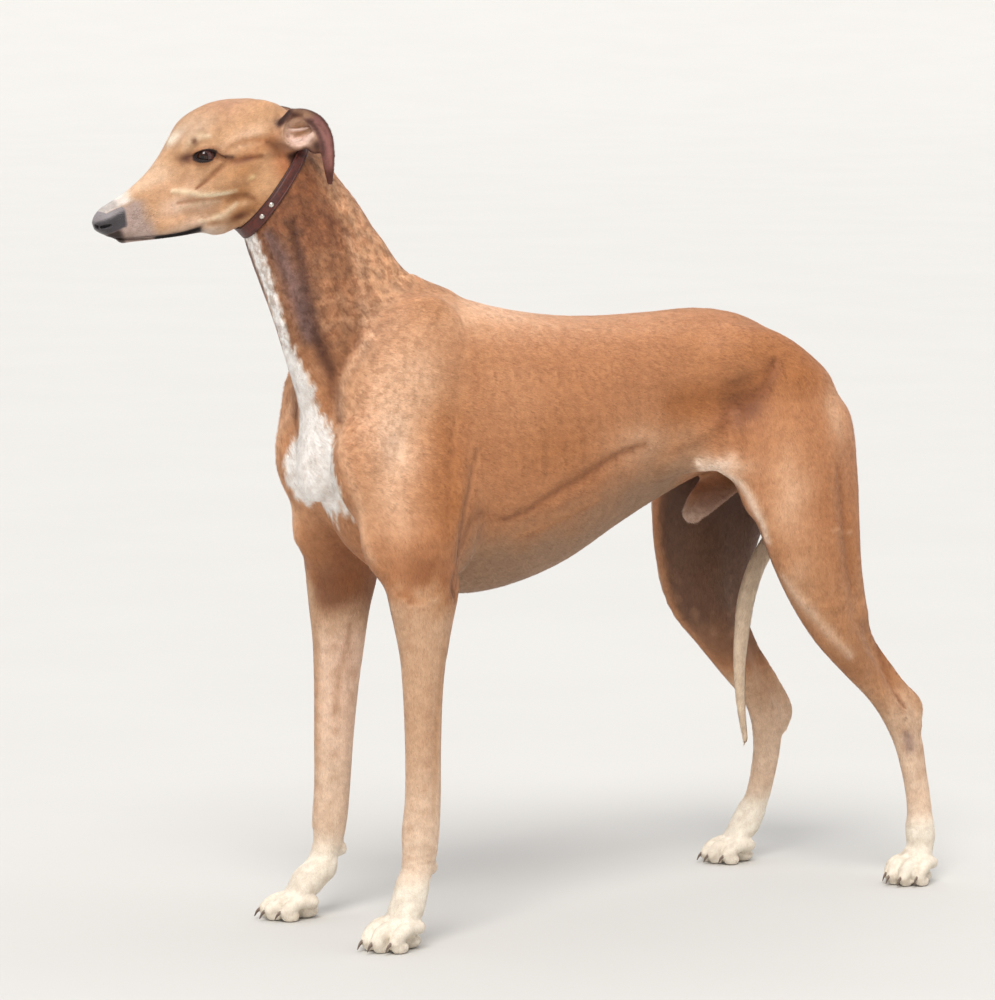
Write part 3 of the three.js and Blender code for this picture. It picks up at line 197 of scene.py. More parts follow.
def beyondPlane(matrix, side):   # all on one side of the plane square to the matrix's X
    normal = matrix[:3, 0] * side
    everywhere = np.full(3, 1e4)
    return -everywhere, everywhere, lambda p: -(p - matrix[:3, 3]) @ normal


farOff, feltFrom = 60, 12   # the value far outside, and how far past its blend a mass is reckoned


class Flesh:
    def __init__(self, matrix=None):
        self.masses = []
        self.matrix = np.eye(4) if matrix is None else matrix

    def add(self, mass, blend, hollow):
        low, high, at = mass
        back = np.linalg.inv(self.matrix)
        corners = move(self.matrix, np.array(list(product(*zip(low, high)))))
        self.masses.append((corners.min(0), corners.max(0), lambda p: at(move(back, p)), blend, hollow))
        return self

    def join(self, mass, blend):
        return self.add(mass, blend, False)

    def carve(self, mass, blend):
        return self.add(mass, blend, True)

    def take(self, *others):
        for other in others:
            self.masses += other.masses
        return self

    def value(self, points):   # about the distance to the surface, less than 0 inside
        points = np.asarray(points, np.float32)
        value = np.full(len(points), farOff, np.float32)
        for low, high, at, blend, hollow in self.masses:
            margin = blend + feltFrom
            near = np.nonzero(((points > low - margin) & (points < high + margin)).all(1))[0]
            if len(near):
                value[near] = blended(value[near], at(points[near]), blend, hollow)
        return value

    def slope(self, points, step=0.4):
        here = self.value(points)
        slopes = [(self.value(points + step * axis) - here) / step for axis in np.eye(3)]
        return here, np.stack(slopes, 1)


def blended(was, mass, blend, hollow):
    was = -was if hollow else was
    soft = np.maximum(blend - np.abs(was - mass), 0)
    both = np.minimum(was, mass) - soft * soft / (4 * blend)
    return -both if hollow else both


def sampled(flesh, low, high, cell):
    counts = [int(math.ceil((h - l) / cell)) + 1 for l, h in zip(low, high)]
    axes = [l + cell * np.arange(n, dtype=np.float32) for l, n in zip(low, counts)]
    value = np.full(counts, farOff, np.float32)
    for reachLow, reachHigh, at, blend, hollow in flesh.masses:
        margin = blend + 2 * cell
        spans = []
        for k in range(3):
            spans.append(slice(*np.searchsorted(axes[k], (reachLow[k] - margin, reachHigh[k] + margin))))
        block = value[tuple(spans)]
        if block.size:
            grid = np.meshgrid(*(axes[k][spans[k]] for k in range(3)), indexing="ij")
            points = np.stack([g.ravel() for g in grid], 1)
            value[tuple(spans)] = blended(block.ravel(), at(points), blend, hollow).reshape(block.shape)
    return value


def surfaceNet(value, low, cell):   # one point in each cube that the surface crosses, joined by quads
    inside = value < 0
    shape = np.array(value.shape)
    corners = np.array(list(product((0, 1), repeat=3)))
    count = sum(inside[tuple(slice(c, n - 1 + c) for c, n in zip(corner, shape))].astype(np.int8)
                for corner in corners)
    cubes = np.argwhere((count > 0) & (count < 8))
    index = np.full(count.shape, -1, np.int32)
    index[tuple(cubes.T)] = np.arange(len(cubes))
    values = np.stack([value[tuple((cubes + corner).T)] for corner in corners], 1)
    spot, hits = np.zeros((len(cubes), 3)), np.zeros(len(cubes))
    for a, b in product(range(8), repeat=2):
        if a < b and np.abs(corners[a] - corners[b]).sum() == 1:
            cross = (values[:, a] < 0) != (values[:, b] < 0)
            share = values[cross, a] / (values[cross, a] - values[cross, b])
            spot[cross] += corners[a] + (corners[b] - corners[a]) * share[:, None]
            hits[cross] += 1
    points = low + cell * (cubes + spot / hits[:, None])
    quads = []
    for k in range(3):
        u, v = np.eye(3, dtype=int)[(k + 1) % 3], np.eye(3, dtype=int)[(k + 2) % 3]
        first = [slice(1, n - 1) for n in shape]
        second = list(first)
        first[k], second[k] = slice(0, shape[k] - 1), slice(1, shape[k])
        a, b = inside[tuple(first)], inside[tuple(second)]
        for start, turned in ((a & ~b, False), (b & ~a, True)):
            edge = np.argwhere(start) + [0 if i == k else 1 for i in range(3)]
            ring = [index[tuple((edge - shift).T)] for shift in (u + v, v, 0 * u, u)]
            quads.append(np.stack(ring[::-1] if turned else ring, 1))
    quads = np.vstack(quads)
    short = np.linalg.norm(points[quads[:, 0]] - points[quads[:, 2]], axis=1) < np.linalg.norm(
        points[quads[:, 1]] - points[quads[:, 3]], axis=1)
    halves = np.where(short[:, None], quads[:, [0, 1, 2, 0, 2, 3]], quads[:, [0, 1, 3, 1, 2, 3]])
    return points, halves.reshape(-1, 3)


def settle(flesh, points, depth, turns=2, most=1.5):   # on to the surface, less the depth of the coat
    for _ in range(turns):
        here, slope = flesh.slope(points)
        steep = np.maximum((slope * slope).sum(1), 0.25)
        step = np.clip(-(here + depth) / steep, -most, most)
        points = points + step[:, None] * slope
    return points


def refined(points, faces, chosen):   # the chosen faces become four, and their neighbours are split to match
    edges = np.sort(np.stack([faces[:, [0, 1]], faces[:, [1, 2]], faces[:, [2, 0]]], 1), 2)
    key = edges[..., 0].astype(np.int64) * len(points) + edges[..., 1]
    split = np.unique(key[chosen])
    fresh = np.searchsorted(split, key)
    fresh = np.where((fresh < len(split)) & (split[np.minimum(fresh, len(split) - 1)] == key), fresh, -1)
    middles = (points[split // len(points)] + points[split % len(points)]) / 2
    middle = np.where(fresh >= 0, fresh + len(points), -1)
    a, b, c = faces.T
    ab, bc, ca = middle.T
    many = (middle >= 0).sum(1)
    out = [faces[many == 0]]
    full = many == 3
    for trio in ((a, ab, ca), (ab, b, bc), (ca, bc, c), (ab, bc, ca)):
        out.append(np.stack(trio, 1)[full])
    for turn in range(3):
        p, q, r = (faces[:, (turn + k) % 3] for k in range(3))
        pq, qr, rp = (middle[:, (turn + k) % 3] for k in range(3))
        one = (many == 1) & (pq >= 0)
        out += [np.stack(t, 1)[one] for t in ((p, pq, r), (pq, q, r))]
        two = (many == 2) & (rp < 0)
        out += [np.stack(t, 1)[two] for t in ((pq, q, qr), (p, pq, qr), (p, qr, r))]
    return np.vstack([points, middles]), np.vstack(out)


withers = 733


def trunk():
    flesh = Flesh().join(barrel(
        start=-42, end=664, blunt=60, upper=2.15, lower=1.95,
        top=[(-42, 640), (0, 690), (50, 722), (90, withers), (140, 723), (200, 707), (270, 695), (340, 690),
             (420, 691), (490, 693), (550, 683), (590, 658), (625, 614), (664, 560)],
        bottom=[(-42, 510), (0, 450), (50, 408), (100, 386), (160, 378), (220, 384), (290, 405), (360, 440),
                (420, 468), (480, 492), (540, 508), (600, 512), (664, 505)],
        half=[(-42, 48), (0, 64), (60, 76), (120, 88), (190, 96), (250, 97), (310, 91), (370, 80), (430, 70),
              (490, 64), (550, 62), (610, 56), (664, 40)],
        belt=[(-42, 565), (0, 565), (60, 560), (160, 565), (260, 575), (360, 590), (460, 605), (560, 590),
              (664, 540)]), 1)
    flesh.join(ellipsoid((-26, 0, 540), (26, 30, 46), (0, 18, 0)), 26)
    for side in (left, right):
        ahead = 0 if side == left else 18
        flesh.join(ellipsoid((52 + ahead / 2, side * 58, 628), (62, 28, 104), (side * 6, 24, 0)), 26)
        flesh.join(ellipsoid((-14 + ahead / 3, side * 66, 534), (34, 30, 54), (0, -10, 0)), 26)
        flesh.join(ellipsoid((36 + ahead / 2, side * 80, 480), (56, 32, 74), (0, 28, 0)), 24)
        flesh.join(ellipsoid((80, side * 76, 492), (44, 26, 84), (0, -16, 0)), 30)
        flesh.join(ellipsoid((552, side * 56, 616), (84, 31, 48), (0, 20, 0)), 36)
        flesh.join(ellipsoid((640, side * 48, 548), (34, 32, 60), (0, -25, 0)), 30)
        flesh.join(limb([(386, side * 48, 538, 12, 12, 10), (436, side * 54, 546, 18, 18, 12),
                         (484, side * 62, 550, 22, 22, 14),
                         (522, side * 72, 544, 20, 20, 14)], (0, 0, 1)), 22)
        flesh.join(limb([(392, side * 48, 512, 12, 12, 8), (436, side * 59, 517, 12, 12, 8),
                         (474, side * 67, 518, 12, 12, 9), (505, side * 74, 500, 14, 14, 12),
                         (518, side * 80, 470, 12, 12, 12)], (0, 0, 1)), 18)
    flesh.join(ellipsoid((-8, 62, 598), (30, 26, 58)), 24)
    flesh.join(limb([(610, 0, 606, 20, 20, 20), (648, 0, 570, 18, 20, 18), (673, 0, 536, 17, 17, 15),
                     (681, 0, 505, 14, 15, 13)]), 30)
    flesh.join(limb([(554, 0, 498, 20, 22, 18), (518, 0, 477, 20, 21, 17), (495, 0, 460, 17, 18, 15),
                     (484, 0, 450, 13, 13, 12)], (0, 0, -1)), 20)
    return flesh


def neck():
    return Flesh().join(limb([
        (66, 0, 590, 98, 84, 60), (22, 2, 655, 88, 86, 56), (-10, 9, 710, 72, 93, 49),
        (-33, 21, 762, 60, 97, 45), (-50, 34, 812, 52, 89, 41), (-60, 45, 858, 46, 69, 38)]), 30).join(limb([
            (-70, 60, 850, 24, 28, 34), (-70, 50, 815, 26, 28, 35), (-58, 36, 770, 28, 28, 34),
            (-42, 20, 720, 28, 28, 30)]), 14).join(limb([
                (48, 12, 772, 10, 10, 14), (72, 9, 745, 11, 11, 18), (97, 5, 729, 11, 11, 18),
                (128, 0, 716, 9, 9, 14)]), 26)


headYaw, headPitch = math.radians(16), math.radians(24)
gaze = (-math.cos(headYaw) * math.cos(headPitch), math.sin(headYaw) * math.cos(headPitch),
        -math.sin(headPitch))
headFrame = frameOf((-30, 45, 905), gaze, (0, 0, 1))


def head():
    flesh = Flesh(headFrame).join(barrel(
        start=-4, end=252, blunt=16, upper=2.2, lower=2.3,
        top=[(-4, 34), (20, 51), (45, 65), (70, 73.5), (95, 75.5), (118, 71.5), (136, 60), (152, 47.5),
             (175, 35), (205, 25.5), (235, 21), (252, 17.5)],
        bottom=[(-4, -20), (20, -34), (45, -48), (70, -61), (92, -67), (120, -58), (150, -46), (185, -35),
                (215, -26), (240, -16), (252, -9)],
        half=[(-4, 28), (20, 36), (45, 41), (75, 42), (100, 39), (122, 33), (145, 27.5), (175, 23.5),
              (205, 20.5), (235, 17), (252, 14)],
        belt=[(-4, 8), (45, 14), (95, 10), (140, 2), (180, -4), (220, -5), (252, 2)]), 1)
    for s in (-1, 1):
        flesh.join(ellipsoid((60, s * 24, 34), (44, 19, 27), (0, 10, 0)), 14)
        flesh.join(ellipsoid((68, s * 33, -18), (34, 13, 34), (0, 0, s * 6)), 12)
        flesh.join(ellipsoid((104, s * 22, -42), (40, 14, 17), (0, 17, s * -10)), 14)
        flesh.join(limb([(154, s * 22, -2, 5, 5, 5), (128, s * 29, -8, 7, 7, 6), (98, s * 37.5, -6, 8, 8, 7),
                         (68, s * 40.5, 2, 8, 8, 7.5), (44, s * 36, 10, 7, 7, 7)], (0, 0, 1)), 12)
        # brow, lids and the opening between them
        flesh.join(ellipsoid((122, s * 24, 48), (22, 10, 10), (0, 26, 0)), 9)
        flesh.join(ellipsoid((112, s * 25, 27), (17, 13.5, 13), (0, 14, s * 24)), 5)
        flesh.carve(limb([(131, s * 34, 33.5, 1, 1, 5), (122, s * 36, 32, 4.4, 4, 8),
                          (112, s * 38, 28, 6, 5.2, 9),
                          (103, s * 40, 22, 4.4, 4, 7.5), (96, s * 41, 17, 1, 1, 4)], (0, 0, 1)), 1.2)
        flesh.join(ellipsoid((118, s * 28.5, 46), (3.2, 3, 2.8)), 1.5)
        # lips, and the line of the mouth
        flesh.join(limb([(238, s * 8, -7.5, 7, 6, 6), (216, s * 13.5, -17, 8, 8, 6.5),
                         (188, s * 17, -25.5, 8, 9, 6.5), (162, s * 20.5, -33.5, 7, 8, 6),
                         (146, s * 24, -37, 4, 4, 4)], (0, 0, 1)), 7)
        flesh.join(limb([(230, s * 3, -20, 5, 4, 6), (210, s * 8, -27, 5, 4, 7),
                         (180, s * 12.5, -36, 6, 5, 7),
                         (150, s * 17, -44.5, 6, 5, 7), (126, s * 21, -51, 6, 5, 6)], (0, 0, 1)), 9)
        flesh.carve(limb([(243, s * 4, -14, 1.3, 1.3, 3), (232, s * 10.5, -19.5, 1.4, 1.4, 3),
                          (212, s * 15.5, -28, 1.4, 1.4, 3), (188, s * 19, -36.5, 1.4, 1.4, 3),
                          (166, s * 22.5, -42, 1.5, 1.5, 3),
                          (150, s * 26, -44, 1.2, 1.2, 3)], (0, 0, 1)), 1.5)
    return flesh


def noseLeather():
    flesh = Flesh(headFrame).join(ellipsoid((238, 0, 5), (17, 15.5, 14.5)), 4)
    for s in (-1, 1):
        flesh.join(ellipsoid((241, s * 8.5, 4), (13, 8.5, 10)), 5)
        flesh.carve(limb([(252, s * 7, 5, 2.6, 2.6, 3.5), (247, s * 12, 3, 2.2, 2.2, 3.5),
                          (240, s * 16.5, 1, 1, 1, 3)], (0, 0, 1)), 1.5)
    flesh.carve(limb([(258, 0, 8, 1, 1, 2), (257, 0, -2, 1, 1, 2), (252, 0, -9, 1, 1, 2)], (0, 1, 0)), 1)
    return flesh


def ears():
    flesh = Flesh(headFrame)
    for s in (-1, 1):
        flesh.join(ellipsoid((7, s * 37, 9), (25, 14, 21.5), (0, -12, s * 14)), 8)
        flesh.carve(ellipsoid((7, s * 50, 10), (20, 15, 16.5), (0, -12, s * 14)), 2)
        flesh.join(limb([(20, s * 41, 27, 3, 3, 4), (6, s * 44, 31, 4, 4, 6), (-6, s * 45.5, 26, 7, 5, 6),
                         (-15, s * 45.5, 12, 10, 8, 4.8), (-18, s * 46, -5, 10, 8, 4),
                         (-14.5, s * 46.5, -22, 9, 7.5, 3.6), (-8, s * 46.5, -40, 7, 6, 3.3),
                         (-1, s * 47, -57, 3.2, 3, 2.6)], (1, 0, 0), 6), 3)
        flesh.join(ellipsoid((-5, s * 44, -10), (12, 3.2, 13), (0, 0, s * -8)), 3)
        flesh.carve(limb([(-10, s * 52.5, 12, 4, 2, 3), (-14, s * 52.5, -6, 6, 3, 4),
                          (-13, s * 52.5, -24, 5.5, 3, 3.8), (-8, s * 52, -42, 3.5, 2, 3)], (1, 0, 0)), 3)
        flesh.join(limb([(20, s * 38, 18, 2, 2, 3), (8, s * 37, 11, 2, 2, 4), (-6, s * 37, 8, 2, 2, 4)],
                        (0, 0, 1)), 2)
        flesh.join(limb([(22, s * 38, 4, 2, 2, 3), (10, s * 37, 0, 2, 2, 4), (-4, s * 37, -1, 2, 2, 4)],
                        (0, 0, 1)), 2)
    return flesh


def foreLeg(side, stations, back):
    return (Flesh()
            .join(limb([(x, side * y, z, *radii) for x, y, z, *radii in stations]), 18)
            .join(limb([(back[0] - 12, side * 90, back[1] + 34, 14, 14, 13),
                        (back[0] - 6, side * 93, back[1] + 4, 13, 13, 13),
                        (back[0] - 16, side * 97, back[1] - 26, 11, 13, 13),
                        (back[0] - 27, side * 99, back[1] - 62, 10, 10, 12)]), 12)
            .join(ellipsoid((back[2], side * 105, back[3]), (8, 8, 9)), 5))


leftForeLeg = foreLeg(left, [
    (42, 88, 450, 46, 46, 34), (41, 94, 405, 40, 44, 32), (41, 98, 365, 33, 36, 27),
    (41, 101, 328, 27, 30, 23),
    (40, 103, 286, 23.5, 25, 20), (39, 104, 226, 21, 23.5, 17.5), (38, 105, 166, 21, 23.5, 17),
    (36, 105, 128, 23, 22.5, 19.5), (33, 105, 102, 19.5, 22, 17.5), (26, 106, 72, 16.5, 17.5, 17),
    (17, 107, 46, 18, 17, 20)], (86, 396, 50, 88))
rightForeLeg = foreLeg(right, [
    (52, 88, 450, 46, 46, 34), (55, 94, 400, 44, 44, 32), (56, 97, 360, 39.5, 37, 28),
    (56, 99, 321, 34, 32, 25),
    (54, 101, 270, 29.5, 27, 22), (51, 103, 205, 26, 24, 19), (49, 105, 150, 23, 23, 17.5),
    (46, 106, 114, 21.5, 22, 19.5), (42, 107, 86, 15.5, 20, 17.5), (33, 108, 62, 11.5, 17, 17),
    (19, 109, 40, 12, 16, 19)], (92, 392, 60, 76))


def hindLeg(side, bones, hamstring, tendon):
    flesh = Flesh()
    for stations, blend in ((bones, 22), (hamstring, 18), (tendon, 11)):
        flesh.join(limb([(x, side * y, z, *radii) for x, y, z, *radii in stations]), blend)
    return flesh


leftHindLeg = hindLeg(left, [
    (566, 62, 596, 62, 66, 36), (568, 74, 545, 72, 76, 40), (572, 82, 500, 70, 72, 39),
    (578, 87, 455, 62, 62, 35), (585, 92, 408, 50, 52, 32), (599, 95, 362, 40, 42, 29),
    (622, 97, 314, 30, 32, 24), (653, 99, 270, 20, 23, 19),
    (686, 100, 234, 16, 17, 15), (713, 102, 203, 19, 21, 16.5), (728, 103, 172, 18, 20, 15),
    (737, 105, 134, 16, 17, 13.5), (743, 107, 97, 15.5, 16.5, 13.5), (744, 110, 58, 16, 16.5, 16)],
    [(630, 66, 554, 32, 30, 25), (636, 76, 500, 34, 30, 24), (636, 84, 440, 30, 28, 23),
     (640, 90, 385, 24, 24, 20), (654, 95, 330, 14, 16, 15)],
    [(650, 96, 330, 16, 13, 12), (685, 98, 280, 14, 8, 6), (718, 101, 240, 14, 7, 5),
     (741, 102, 213, 14, 9, 9), (738, 103, 192, 10, 9, 10)])
rightHindLeg = hindLeg(right, [
    (562, 62, 596, 62, 62, 36), (562, 74, 545, 68, 74, 40), (560, 82, 495, 68, 74, 39),
    (558, 88, 445, 66, 74, 35), (560, 93, 395, 60, 68, 32), (568, 97, 345, 50, 49, 29),
    (594, 100, 296, 35, 31, 24), (622, 102, 250, 23, 23, 19),
    (650, 103, 212, 17, 19, 15), (670, 104, 180, 19, 21, 16.5), (674, 105, 150, 18, 20, 15),
    (671, 107, 112, 16, 17, 13.5), (663, 111, 76, 15.5, 16.5, 13.5), (652, 116, 46, 16, 16.5, 16)],
    [(622, 66, 546, 32, 30, 25), (622, 76, 490, 34, 32, 24), (620, 84, 430, 30, 30, 23),
     (614, 92, 375, 24, 22, 20), (618, 98, 326, 14, 14, 14)],
    [(616, 98, 318, 18, 11, 12), (650, 100, 264, 18, 8, 6), (682, 102, 222, 18, 7, 5),
     (701, 103, 184, 16, 9, 9), (695, 104, 166, 12, 9, 10)])

toes = [(29, 24, 8.6), (43, 9, 9.4), (43, -9, 9.4), (29, -24, 8.6)]   # reach, spread, thickness


def pawFrame(x, y, toeOut, size):
    turn = math.radians(toeOut)
    matrix = frameOf((x, y, 0), (-math.cos(turn), math.copysign(math.sin(turn), y), 0), (0, 0, 1))
    matrix[:3, :3] *= size
    return matrix


def paw(matrix, root, height):
    flesh = Flesh(matrix).join(limb([root, (-10, 0, 46, 15, 17, 18), (0, 0, 31, 13, 16, 23),
                                     (10, 0, 21, 11, 14, 24)], (1, 0, 0)), 10)
    for reach, spread, thick in toes:
        knuckle = reach - 20
        flesh.join(limb([
            (knuckle - 22, spread * 0.7, height - 1, thick, thick, thick * 0.95),
            (knuckle - 4, spread * 0.9, height, thick, thick, thick),
            (knuckle + 8, spread, height - 5, thick, thick, thick),
            (knuckle + 15, spread, 12.5, thick * 0.85, thick * 0.9, thick * 0.85)], (1, 0, 0)), 3.5)
        flesh.join(ellipsoid((knuckle + 8, spread, 6.5), (11, 7.4, 8)), 3)
    return flesh.join(ellipsoid((-9, 0, 8), (17, 17, 9.5)), 5)


feet = {
    "left_front": (pawFrame(6, -108, 4, 1), (-15, 0, 68, 15, 18, 17), 26, leftForeLeg),
    "right_front": (pawFrame(4, 109, 12, 0.96), (-32, 0, 60, 12, 18, 17), 22, rightForeLeg),
    "left_hind": (pawFrame(735, -112, 16, 0.92), (-9, 0, 72, 15, 17, 16), 27, leftHindLeg),
    "right_hind": (pawFrame(637, 120, 8, 0.92), (-22, 0, 66, 15, 17, 16), 24, rightHindLeg),
}
tail = Flesh().join(limb([
    (664, 0, 560, 15, 16, 14), (680, 0, 520, 14, 15, 13), (674, 4, 478, 13, 13.5, 12.5),
    (650, 14, 444, 12.5, 12.5, 12), (620, 22, 410, 11.8, 11.8, 11.5), (601, 27, 380, 11.4, 11.4, 11),
    (587, 30, 340, 11.2, 11.2, 10.8),
    (581, 31, 300, 10, 10, 9.6), (578.5, 32, 264, 8.4, 8.4, 8.2), (579, 32, 232, 7, 7, 6.8),
    (582, 32, 200, 5.8, 5.8, 5.6), (588, 32, 166, 3.6, 3.6, 3.6)]), 6)


def onHead(ahead, aside, up):
    return move(headFrame, np.array([ahead, aside, up], float))


def alongHead(ahead, aside, up):
    return headFrame[:3, :3] @ np.array([ahead, aside, up], float)


collarFrame = frameOf(onHead(61, 0, -34), alongHead(0.485, 0, 0.875), alongHead(-0.875, 0, 0.485))
# The collar hides where the finer mesh of the head meets the mesh of the body, which overlap under its strap
strapMiddle, seamOverlap = -9, 3
underStrap = []
for shift in (seamOverlap, -seamOverlap):
    middle = move(collarFrame, np.array([strapMiddle + shift, 0, 0.0]))
    underStrap.append(frameOf(middle, collarFrame[:3, 0], (0, 0, 1)))
soleHeight = 0.2
ground = frameOf((0, 0, soleHeight), (0, 0, 1), (1, 0, 0))
neckFlesh = Flesh().take(trunk(), neck(), head())
bodyFlesh = Flesh().take(neckFlesh, tail)
for matrix, root, height, leg in feet.values():
    bodyFlesh.take(leg, paw(matrix, root, height))
bodyFlesh.carve(beyondPlane(underStrap[0], 1), 0.5).carve(beyondPlane(ground, -1), 0.5)
headFlesh = Flesh().take(neck(), head()).carve(beyondPlane(underStrap[1], -1), 0.5)
headFlesh.take(ears(), noseLeather())
print("flesh:", len(bodyFlesh.masses) + len(headFlesh.masses), "masses")


# Lines on the body are given on the dog's left side, and go on the other side as well
neckMiddle = curve([(590, 0), (655, 2), (710, 9), (762, 21), (812, 34), (858, 45)])


def otherSide(line):   # the same place on the dog's right side
    line = np.array(line, float)
    line[:, 1] = 2 * neckMiddle(line[:, 2]) - line[:, 1]
    return line


def otherLeg(line, bones, otherBones):   # the same place on the other leg, which stands differently
    frames, count = [], 60
    for stations in (bones, otherBones):
        at = spline(np.array([(x, y, z) for x, y, z, *radii in stations], float))
        steps = np.linspace(0, 1, count)
        frames.append([frameOf(at(t), at(min(t + 0.01, 1)) - at(max(t - 0.01, 0)), (-1, 0, 0))
                       for t in steps])
    moved = []
    for point in line:
        nearest = min(range(count), key=lambda i: np.linalg.norm(frames[0][i][:3, 3] - point))
        local = (point - frames[0][nearest][:3, 3]) @ frames[0][nearest][:3, :3]
        moved.append(move(frames[1][nearest], local * (1, -1, 1)))
    return np.array(moved)


def nearLine(points, line, width, taper=0.35):   # 1 on the line, fading to 0 at about two widths
    at = spline(line)
    share = np.linspace(0, 1, 5 * len(line))
    line = np.array([at(t) for t in share])
    widths = width * (taper + (1 - taper) * np.sin(np.pi * share) ** 0.7)
    near = np.zeros(len(points))
    reach = 2.3 * width
    close = np.nonzero(((points > line.min(0) - reach) & (points < line.max(0) + reach)).all(1))[0]
    p = points[close]
    best = np.full(len(p), 99.0)
    for a, b, thick in zip(line[:-1], line[1:], widths):
        step = b - a
        t = np.clip((p - a) @ step / (step @ step), 0, 1)
        best = np.minimum(best, np.linalg.norm(p - a - t[:, None] * step, axis=1) / thick)
    near[close] = np.exp(-best ** 2)
    return near


def nearSpot(points, centre, radii):   # 1 in the middle, fading to 0 at about twice the radii
    return np.exp(-(((points - np.array(centre, float)) / np.array(radii, float)) ** 2).sum(1))


def rise(value, start, end):
    t = np.clip((value - start) / (end - start), 0, 1)
    return t * t * (3 - 2 * t)


# The middle line of each leg, by which a fold of the left one is found on the right one
leftFore = [(42, -88, 450), (41, -98, 365), (40, -103, 286), (38, -105, 166), (26, -106, 72), (17, -107, 46)]
rightFore = [(52, 88, 450), (56, 97, 360), (54, 101, 270), (49, 105, 150), (32, 108, 62), (17, 109, 40)]
leftHind = [(566, -62, 596), (578, -87, 455), (599, -95, 362), (653, -99, 270), (713, -102, 203),
            (737, -105, 134), (744, -110, 58)]
rightHind = [(562, 62, 596), (558, 88, 445), (568, 97, 345), (622, 102, 250), (670, 104, 180),
             (671, 107, 112), (652, 116, 46)]

